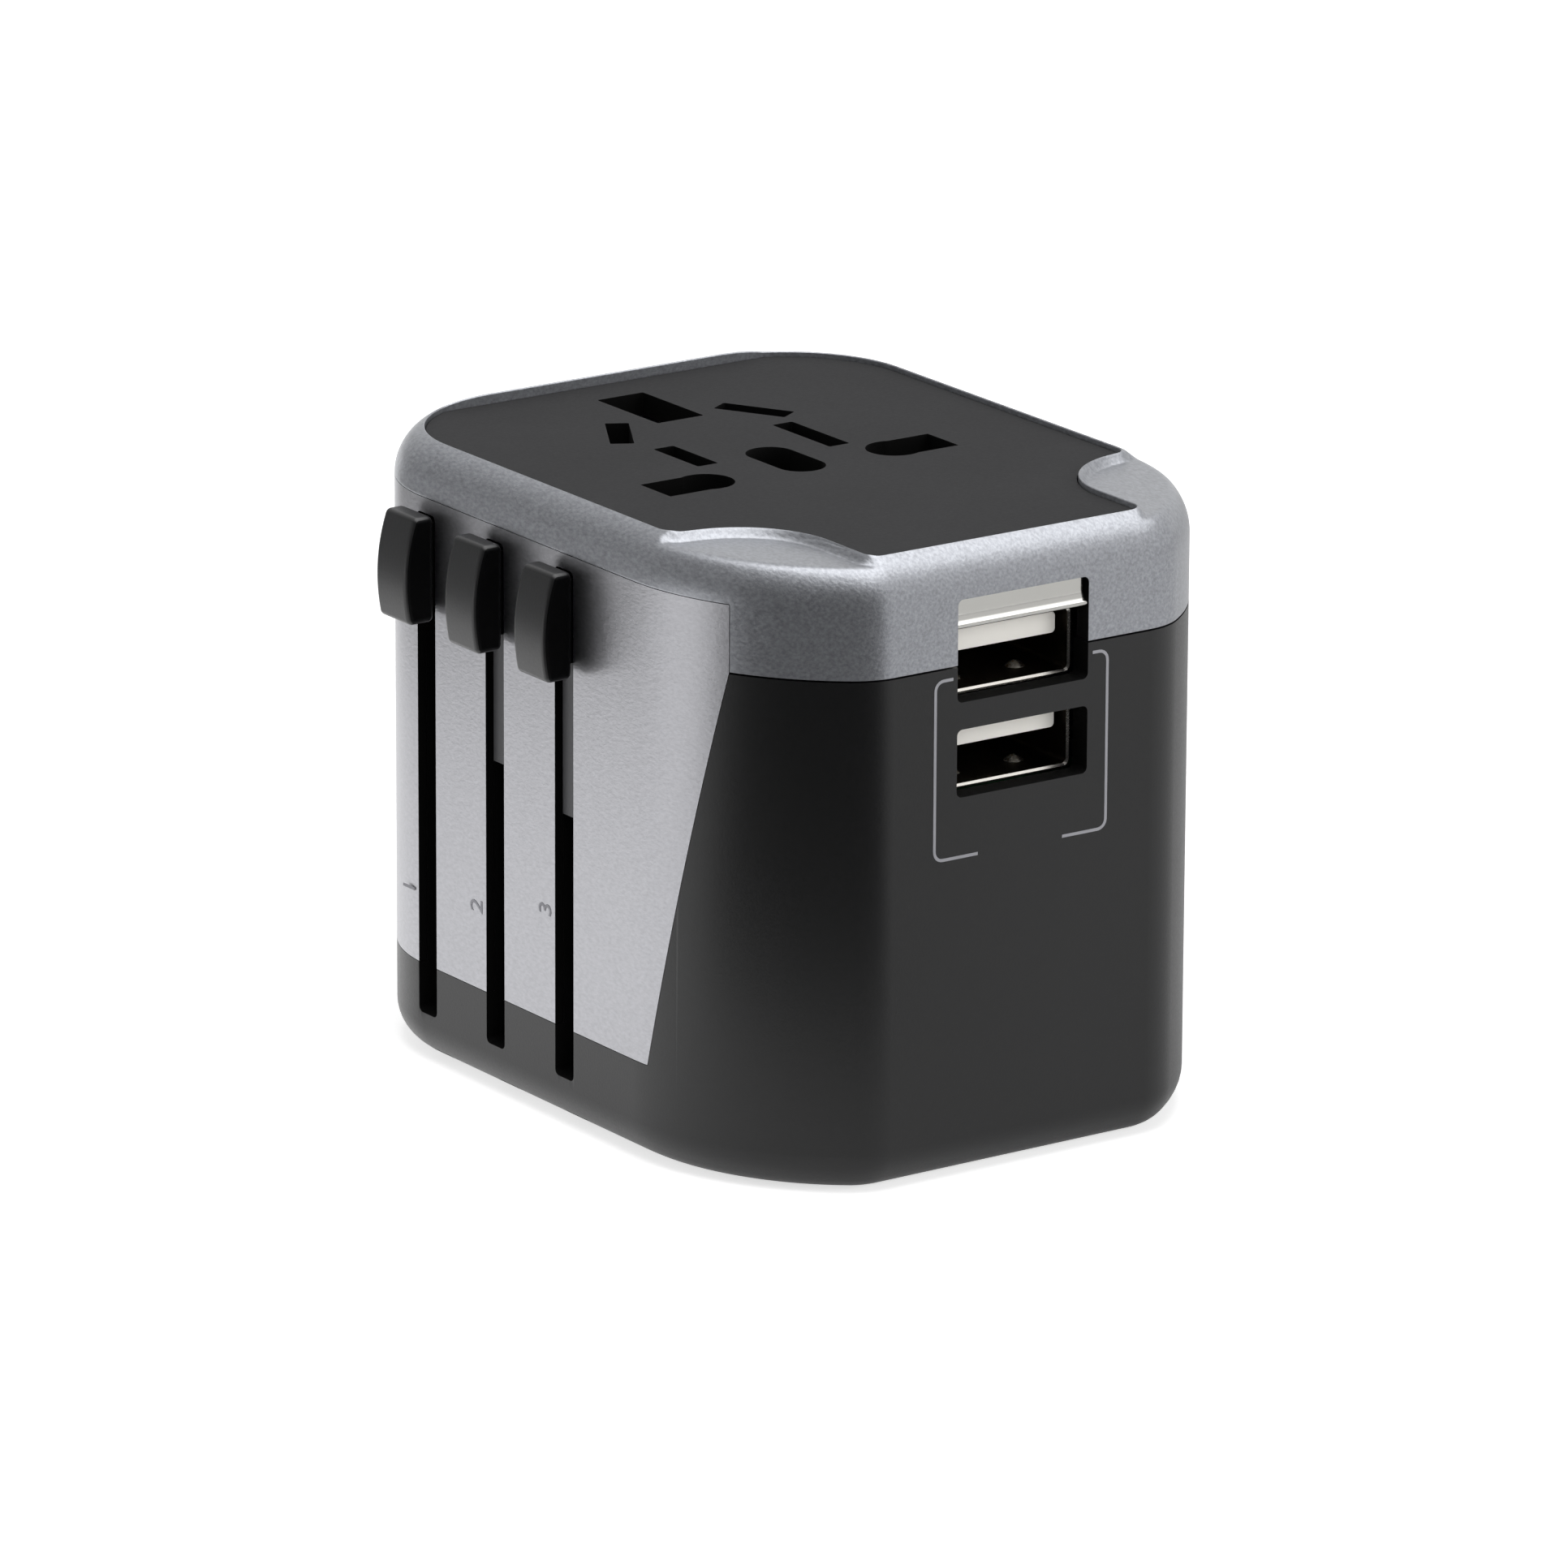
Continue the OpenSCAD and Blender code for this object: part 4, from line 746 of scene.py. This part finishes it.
# outlines of the holes: a round hole with a flat one beside it, twice, then the earth hole,
# two upright, two angled and the middle one
def socketHoles():
    r, high, corner = socket["roundRadius"], socket["flatHigh"] / 2, socket["corner"]
    start = math.acos(math.sqrt(r * r - high * high) / r)
    line = unit(np.linspace(start, 2 * math.pi - start, 30)) * r + (socket["roundPitch"] / 2, 0)
    line = np.concatenate([line, [[socket["flatReach"], -high], [socket["flatReach"], high]]])
    wide, (short, long) = socket["bladeWide"], socket["bladeLong"]
    holes = [line, line * (-1, 1), roundRect((0, socket["earthPitch"]), socket["earth"], corner)]
    holes += [roundRect((s * socket["bladePitch"] / 2, socket["bladeRow"]), (wide, size), corner)
              for s, size in ((-1, short), (1, long))]
    holes += [turned(roundRect((0, 0), (wide, short), corner), s * socket["angle"],
                     (s * socket["angledPitch"] / 2, socket["angledRow"])) for s in (-1, 1)]
    endRadius = socket["middle"][0] / 2 - 0.001
    holes += [roundRect((0, socket["middleY"]), socket["middle"], endRadius, 14)]
    return [h + (socket["x"], socket["y"]) for h in holes]


# walls of the holes, where shade is painted
def inHole(centre, normal):
    x, y = np.abs(centre[:, 0] - socket["x"]), centre[:, 1]
    return ((np.abs(normal[:, 2]) < 0.6) & (x < socket["holesReach"])
            & (y > socket["holesFront"]) & (y < socket["holesBack"]))


plateShape = prism(seatEdge, "z", socket["low"], socket["high"])
socketPlate = newObject("socketPlate", plateShape, sparkedAbs)
cut(socketPlate, [prism(h, "z", *socket["cut"]) for h in socketHoles()])
bevel(socketPlate, socket["edge"])
# painted shade: the walls of the holes near-black
paintWhere(socketPlate, recessShadeBlack, inHole)
dress(socketPlate, "housing", "plate_grey", "socket_plate")
print("socket plate ready")


# knobs and their necks
knob = dict(
    wide=4.8, edge=0.55, low=39.4, high=48.6, inner=-26.2,
    bow=15.6, bowX=-13.45, bowZ=43.0,     # radius and centre of the bowed face
    neckWide=2.15, neckHigh=7.2, neckAt=(-25.5, 44), neckCorner=0.1,
    neckDeep=dict(eu=3.6, uk=1.6, us=1.6),
)


# box with a bowed outer face, every edge rounded by a ball: the profile drawn in by the ball's
# radius, moved out along its normals by the ball's half width at each step across
def knobShape(y):
    r, bow = knob["edge"], knob["bow"] - knob["edge"]
    low, high, inner = knob["low"] + r, knob["high"] - r, knob["inner"] - r
    upper = math.pi - math.asin((high - knob["bowZ"]) / bow)
    lower = math.pi + math.asin((knob["bowZ"] - low) / bow)
    upperX, lowerX = (knob["bowX"] + bow * math.cos(a) for a in (upper, lower))
    fans = [((inner, high), 0, math.pi / 2), ((upperX, high), math.pi / 2, upper),
            ((lowerX, low), lower, 1.5 * math.pi), ((inner, low), 1.5 * math.pi, 2 * math.pi)]
    angles = [np.linspace(a, b, 9) for _, a, b in fans]
    points = [np.repeat([p], 9, 0) for p, _, _ in fans]
    bowed = np.linspace(upper, lower, 24)[1:-1]
    angles.insert(2, bowed)
    points.insert(2, (knob["bowX"], knob["bowZ"]) + bow * unit(bowed))
    outwards, points = unit(np.concatenate(angles)), np.concatenate(points)
    turn = np.linspace(0, math.pi / 2, 8)
    half = knob["wide"] / 2 - r
    steps = [(-half - r * math.cos(a), r * math.sin(a)) for a in turn]
    steps += [(half + r * math.cos(a), r * math.sin(a)) for a in turn[::-1]]
    rows = np.concatenate([atY(points + out * outwards, y + across) for across, out in steps])
    return rows, gridFaces(len(steps), len(points)) + endFaces(len(steps), len(points))


# faces that look along the row of knobs, which get painted shade
def isKnobSide(centre, normal):
    return np.abs(normal[:, 1]) > 0.8


for plug, y in zip(("eu", "uk", "us"), sliderPlaces):
    cap = newObject(plug + "Knob", knobShape(y), rubberisedPaint)
    settle(cap, 60)
    # painted shade: the knob's sides near-black
    paintWhere(cap, knobSideShade, isKnobSide)
    size = (knob["neckDeep"][plug], knob["neckHigh"])
    section = roundRect(knob["neckAt"], size, knob["neckCorner"])
    ends = [y + s * knob["neckWide"] / 2 for s in (-1, 1)]
    # the neck, deep in its slot, is near-black painted shade
    neck = newObject(plug + "KnobNeck", prism(section, "y", *ends), recessShadeBlack)
    settle(neck)
    dress(cap, plug + "_plug", "knob_grey", plug + "_knob")
    dress(neck, plug + "_plug", "knob_grey")
print("knobs ready")


# USB sockets: folded sheet shells with pressed domes, a band, tongues and contacts
# bright: reach round each dome that is kept clear of the painted shade
dome = dict(x=3.2, y=-26.6, radius=0.9, height=0.55, sink=0.05, bright=0.95)
band = dict(
    face=0.2, foot=0.7, topGap=0.02, endGap=0.05, sheet=0.15,
    flare=1.1, roll=0.25, lean=48, under=100,     # two radii and the angles they turn
)
tongue = dict(rise=1.35, size=(11.1, 1.84), corner=0.4, reach=(-29.0, -15.5), edge=0.12)
contact = dict(rise=0.36, size=(1.0, 0.16), corner=0.05, reach=(-25.5, -16.0),
               places=(-3.5, -1.0, 1.0, 3.5))
socketHeights = (usb["lowZ"], usb["lowZ"] + usb["pitch"])


# tube of rounded rectangle section, open in front and closed behind
def shellShape(z):
    front, lip = usb["inset"] - halfD, usb["lip"]
    t, wide, high = usb["sheet"], usb["mouthWide"], usb["mouthHigh"]
    outer = roundRect((0, z), (wide + 2 * t, high + 2 * t), usb["outerCorner"])
    inner = roundRect((0, z), (wide, high), usb["innerCorner"])
    layers = [(inner, front + usb["deep"] - t), (inner, front + lip), ((inner + outer) / 2, front),
              (outer, front + lip), (outer, front + usb["deep"])]
    points = np.concatenate([atY(outline, y) for outline, y in layers])
    return points, gridFaces(5, len(outer)) + endFaces(5, len(outer))


# dome pressed up from the lower wall: height falls off as the square of the distance
def domeShape(x, z):
    ring = np.linspace(0, 1, 8)[:, None]
    a = np.linspace(0, 2 * math.pi, 20, endpoint=False)[None, :]
    reach = dome["radius"] * ring
    points = np.stack([x + reach * np.cos(a), dome["y"] + reach * np.sin(a),
                       z + dome["height"] * (1 - ring ** 2) + 0 * a], -1).reshape(-1, 3)
    return points, gridFaces(8, 20) + endFaces(8, 20)[1:]


# band over the upper socket: sheet that runs down behind the window's edge, flares forward and
# rolls under below; each arc is a centre plus a radius times the cosine and sine of its angle
def bandShape():
    face, lean = band["face"] - halfD, math.radians(band["lean"])
    flare, roll, topAt = band["flare"], band["roll"], usb["windowTop"] - band["topGap"]
    low = socketHeights[1] + usb["mouthHigh"] / 2 + band["foot"]
    foot = low + roll * (1 + math.sin(lean))
    bend = foot + flare * math.sin(lean)
    back = face + flare * (1 - math.cos(lean))
    top = np.column_stack([np.full(5, back), np.linspace(topAt, bend, 6)[:5]])
    a = np.linspace(0, lean, 14)
    middle = np.stack([back - flare * (1 - np.cos(a)), bend - flare * np.sin(a)], -1)
    b = np.linspace(lean, -math.radians(band["under"]), 16)[1:]
    under = np.stack([face + roll * (math.cos(lean) - np.cos(b)),
                      foot - roll * (math.sin(lean) - np.sin(b))], -1)
    line = np.concatenate([top, middle, under])
    inside = line - band["sheet"] * runNormals(line)
    reach = usb["windowWide"] / 2 - band["endGap"]
    return prism(np.concatenate([line, inside[::-1]]), "x", -reach, reach)


# the walls inside get a darker, warmer nickel as painted shade; their front edge and the pressed
# domes stay bright
def isDullWall(centre, normal):
    alongX = np.abs(np.abs(centre[:, 0]) - dome["x"]) > dome["bright"]
    alongY = np.abs(centre[:, 1] - dome["y"]) > dome["bright"]
    beside = alongX | alongY | (np.abs(normal[:, 0]) > 0.9)
    return (centre[:, 1] > usb["shadeFrom"]) & (np.abs(normal[:, 1]) < 0.5) & beside


shellPieces = []
for z in socketHeights:
    shellPieces.append(shellShape(z))
    foot = z - usb["mouthHigh"] / 2 - dome["sink"]
    shellPieces += [domeShape(s * dome["x"], foot) for s in (-1, 1)]
usbShells = newObject("usbShells", join(shellPieces), nickelSheet)
settle(usbShells)
# painted shade on the shells' inner walls
paintWhere(usbShells, shellShadeNickel, isDullWall)
dress(usbShells, "housing", "shell_nickel", "usb_shell")

usbBand = newObject("usbBand", bandShape(), brushedNickel)
settle(usbBand)
dress(usbBand, "housing", "shell_nickel")

tongues = newObject("usbTongues", join([
    prism(roundRect((0, z + tongue["rise"]), tongue["size"], tongue["corner"]), "y",
          *tongue["reach"]) for z in socketHeights]), whiteLcp)
bevel(tongues, tongue["edge"])
dress(tongues, "housing", "tongue_white", "usb_tongues")

contacts = newObject("usbContacts", join([
    prism(roundRect((x, z + contact["rise"]), contact["size"], contact["corner"]), "y",
          *contact["reach"]) for z in socketHeights for x in contact["places"]]), rolledBrass)
settle(contacts)
dress(contacts, "housing", "contact_brass", "usb_contacts")
print("USB sockets ready")


# prints: a bracket round the sockets, with a gap below, and plain numbers by the sliders
bracket = dict(
    line=0.26, lift=0.03, sink=0.002, right=8.5, left=8.75, low=27.6, high=42.8,
    headX=7.0, footLeft=4.4, footRight=4.1, corner=0.8,
)
numbers = dict(size=2.6, thick=0.02, lift=0.01, places=[(20.3, 14.9), (9.95, 15.9), (-0.4, 18.3)])


# ribbon along a run of points in the USB face: each point moved half a line along its normal,
# both ways
def ribbon(points):
    side = runNormals(points) * bracket["line"] / 2
    top = -halfD - bracket["lift"]
    under, count = top + bracket["lift"] - bracket["sink"], len(points)
    rows = [atY(points - side, under), atY(points - side, top),
            atY(points + side, top), atY(points + side, under)]
    return np.stack(rows, 1).reshape(-1, 3), gridFaces(count, 4) + endFaces(count, 4)


# half of the bracket: head, quarter arc, upright, quarter arc, foot
def bracketSide(sign, x, foot):
    r, low, high = bracket["corner"], bracket["low"], bracket["high"]
    a = np.linspace(0, math.pi / 2, 8)
    upper = np.stack([x - r + r * np.sin(a), high - r + r * np.cos(a)], -1)
    lower = np.stack([x - r + r * np.cos(a), low + r - r * np.sin(a)], -1)
    run = np.concatenate([[[bracket["headX"], high]], upper, lower, [[foot, low]]])
    return ribbon(pointsAt(run, np.linspace(0, runLength(run)[-1], 90)) * (sign, 1))


usbPrint = newObject("usbBracketPrint", join([
    bracketSide(1, bracket["right"], bracket["footRight"]),
    bracketSide(-1, bracket["left"], bracket["footLeft"])]), padPrint)
settle(usbPrint)
dress(usbPrint, "housing", "plate_grey")

for number, (y, z) in enumerate(numbers["places"], 1):
    letter = bpy.data.curves.new(f"number{number}", "FONT")
    letter.body = str(number)
    letter.size = numbers["size"] * 0.001
    letter.extrude = numbers["thick"] * 0.001
    letter.align_x = letter.align_y = "CENTER"
    holder = addObject("holder", letter)
    mesh = finishedMesh(holder)
    bpy.data.objects.remove(holder)
    # text's x runs up the panel, its y along +Y
    x = -halfW - numbers["lift"]
    mesh.transform(Matrix(((0, 0, -1, x * 0.001), (0, 1, 0, y * 0.001), (1, 0, 0, z * 0.001),
                           (0, 0, 0, 1))))
    mesh.materials.append(darkPrint)
    dress(addObject(f"number{number}", mesh), "housing", "plate_grey")
print("prints ready")


# finishes of the CAD nodes that stay
nodeFinish = [
    (zincSteel, ["case_screws", "shutter_spring"]),
    (ivoryPbt, ["contact_frame"]),
    (rolledBrass, ["live_contact", "neutral_contact", "earth_contact", "live_rail", "neutral_rail",
                   "fuse_clips"]),
    (fuseCeramic, ["fuse"]),
    # the shutter, seen only deep in the holes, is near-black painted shade
    (recessShadeBlack, ["shutter"]),
    (epoxyBoard, ["circuit_board"]),
    (ferrite, ["transformer_core"]),
    (coilTape, ["transformer_coil"]),
    (capacitorSleeve, ["capacitors"]),
    (blackNylon, ["eu_carriage", "eu_sleeves", "uk_sleeves", "left_rotor", "right_rotor"]),
    (greyNylon, ["uk_carriage", "us_carriage"]),
    (platedNickel, ["eu_pins"]),
    (milledBrass, ["uk_live_pin", "uk_neutral_pin", "uk_earth_pin", "left_blade", "right_blade"]),
]
for finish, names in nodeFinish:
    for name in names:
        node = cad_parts[name]
        if not node.material_slots:
            node.data.materials.append(finish)
        for slot in node.material_slots:
            slot.material = finish
print("CAD nodes finished")


# studio: what gloss sees is darker over the left, with a soft box overhead; the floor is brighter
# behind the left side than in front of the right; cards are an arc from start to end, its
# profile in distance and height, and its light; lamps are in metres and watts
studio = dict(
    floorDrop=0.05,  # so that floor and part never coincide
    floorSize=3000, floorGrey=0.8, floorGlow=0.65, ambient=0.33,
    pool=dict(lean=(-0.64, 0.77, 0), limits=(-0.04, 0.05), levels=(0.25, 0.85), change="SMOOTHSTEP"),
    sky=dict(lean=(0.75, 0.0, 0.65), limits=(-0.1, 0.55), levels=(0.3, 0.95), change="LINEAR"),
    box=dict(lean=(0.14, -0.14, 0.98), limits=(0.68, 0.9), levels=(0, 2.6), change="SMOOTHSTEP"),
    cards=dict(
        frontCard=(-176, -80, [(78, 1), (180, 1), (300, 6), (420, 60), (480, 330)], 0.03),
        backCard=(92, 150, [(165, 1), (260, 2), (380, 20), (460, 120)], 0.3),
    ),
    lamps=dict(
        leftLamp=dict(place=(-0.3, 0.62, 0.055), target=(0, 0, 0.035), size=(0.4, 0.1), power=3.8),
        rightLamp=dict(place=(0.35, -0.75, 0.3), target=(0, 0, 0.03), size=(0.4, 0.4), power=2.8),
        topLamp=dict(place=(-0.13, -0.2, 0.7), target=(0, 0, 0.05), size=(0.35, 0.35), power=2.0),
    ),
)


# 1 for rays of the kinds named, 0 for the others
def rayIs(tree, first, *others):
    rays = addNode(tree, "ShaderNodeLightPath").outputs
    total = rays[first]
    for name in others:
        total = addNode(tree, "ShaderNodeMath", {"operation": "MAXIMUM"},
                        {0: total, 1: rays[name]}).outputs[0]
    return total


# light that changes between two levels as the way along a lean passes two limits
def lightAlong(tree, place, lean, limits, levels, change):
    way = addNode(tree, "ShaderNodeVectorMath", {"operation": "DOT_PRODUCT", 1: lean}, {0: place})
    (low, high), (least, most) = limits, levels
    return addNode(tree, "ShaderNodeMapRange",
                   {"interpolation_type": change, "From Min": low, "From Max": high,
                    "To Min": least, "To Max": most}, {"Value": way.outputs["Value"]}).outputs[0]


# painted board: diffuse, with enough of its own light towards the camera to come out white
def paintedBoard():
    board, tree, shader, place = startMaterial("paintedBoard", {})
    tree.nodes.remove(shader)
    grey = (studio["floorGrey"],) * 3 + (1,)
    diffuse = addNode(tree, "ShaderNodeBsdfDiffuse", {"Color": grey})
    plain = addNode(tree, "ShaderNodeMath", {"operation": "MULTIPLY", 1: studio["floorGlow"]},
                    {0: rayIs(tree, "Is Camera Ray", "Is Transmission Ray")})
    # painted pool of light that only reflections see: brighter behind the left side
    pool = lightAlong(tree, place, **studio["pool"])
    mirrored = addNode(tree, "ShaderNodeMath", {"operation": "MULTIPLY"},
                       {0: rayIs(tree, "Is Glossy Ray"), 1: pool})
    power = addNode(tree, "ShaderNodeMath", {"operation": "ADD"},
                    {0: plain.outputs[0], 1: mirrored.outputs[0]})
    glow = addNode(tree, "ShaderNodeEmission", None, {"Strength": power.outputs[0]})
    total = addNode(tree, "ShaderNodeAddShader", None, {0: diffuse.outputs[0], 1: glow.outputs[0]})
    tree.links.new(total.outputs[0], tree.nodes["Material Output"].inputs["Surface"])
    return board


# card seen by reflections alone, that puts painted shade into them: flat on the floor, then standing
# up in an arc
def shadeCard(name, start, end, profile, level):
    bend = np.array(profile, float)
    around = np.radians(np.linspace(start, end, 24))[None, :, None]
    reach, height = bend[:, None, :1], bend[:, None, 1:]
    points = [reach * np.cos(around), reach * np.sin(around), height + 0 * around]
    points = np.concatenate(points, -1).reshape(-1, 3)
    cardShade = startMaterial(name, {"Base Color": (0, 0, 0, 1), "Specular IOR Level": 0,
                                 "Emission Color": (1, 1, 1, 1), "Emission Strength": level})[0]
    card = newObject(name, (points, gridFaces(len(bend), 24, False)), cardShade)
    card.visible_camera = card.visible_diffuse = card.visible_transmission = False
    card.visible_shadow = card.visible_volume_scatter = False


# area lamp that gloss doesn't see, so that it lights without a mirrored image of itself
def softLamp(name, place, target, size, power):
    lamp = bpy.data.lights.new(name, "AREA")
    lamp.shape = "RECTANGLE"
    lamp.size, lamp.size_y = size
    lamp.energy = power
    holder = addObject(name, lamp)
    holder.location = place
    aim = Vector(target) - Vector(place)
    holder.rotation_euler = aim.to_track_quat("-Z", "Y").to_euler()
    holder.visible_camera = holder.visible_glossy = False


floorPoints = np.array([[x * studio["floorSize"], y * studio["floorSize"], -studio["floorDrop"]]
                        for x, y in ((-1, -1), (1, -1), (1, 1), (-1, 1))])
floor = newObject("floor", (floorPoints, [[0, 1, 2, 3]]), paintedBoard())
for name, card in studio["cards"].items():
    shadeCard(name, *card)
for name, lamp in studio["lamps"].items():
    softLamp(name, **lamp)

# world: white to the camera, a sloping sky and the box to gloss, plain light to the rest
world = bpy.data.worlds.new("studioWorld")
bpy.context.scene.world = world
world.use_nodes = True
tree = world.node_tree
direction = addNode(tree, "ShaderNodeTexCoord").outputs["Generated"]
sky = lightAlong(tree, direction, **studio["sky"])
box = lightAlong(tree, direction, **studio["box"])
both = addNode(tree, "ShaderNodeMath", {"operation": "ADD"}, {0: sky, 1: box})
dim = addNode(tree, "ShaderNodeMix", {2: studio["ambient"]},
              {0: rayIs(tree, "Is Glossy Ray"), 3: both.outputs[0]})
level = addNode(tree, "ShaderNodeMix", {3: 1.0},
                {0: rayIs(tree, "Is Camera Ray", "Is Transmission Ray"), 2: dim.outputs[0]})
background = tree.nodes["Background"]
background.inputs["Color"].default_value = (1, 1, 1, 1)
tree.links.new(level.outputs[0], background.inputs["Strength"])

# camera at azimuth -34.9 and elevation 16.7 degrees, rolled by a quarter degree; place in metres
view = dict(
    place=(-0.535534, -0.766561, 0.306094), forward=(0.54757654, 0.78557912, -0.28814124),
    roll=0.26, lens=267.07, sensor=36.0,
)
forward = Vector(view["forward"]).normalized()
right = forward.cross(Vector((0, 0, 1))).normalized()
up = right.cross(forward)
roll = math.radians(view["roll"])
right, up = (right * math.cos(roll) + up * math.sin(roll),
             up * math.cos(roll) - right * math.sin(roll))
camera = bpy.data.cameras.new("camera")
camera.lens = view["lens"]
camera.sensor_width = view["sensor"]
camera.clip_end = 20.0
cameraHolder = addObject("camera", camera)
axes = Matrix((right, up, -forward)).transposed()
cameraHolder.matrix_world = Matrix.Translation(view["place"]) @ axes.to_4x4()
bpy.context.scene.camera = cameraHolder
bpy.context.scene.view_settings.view_transform = "Standard"
print("stage ready")

bpy.context.view_layer.update()
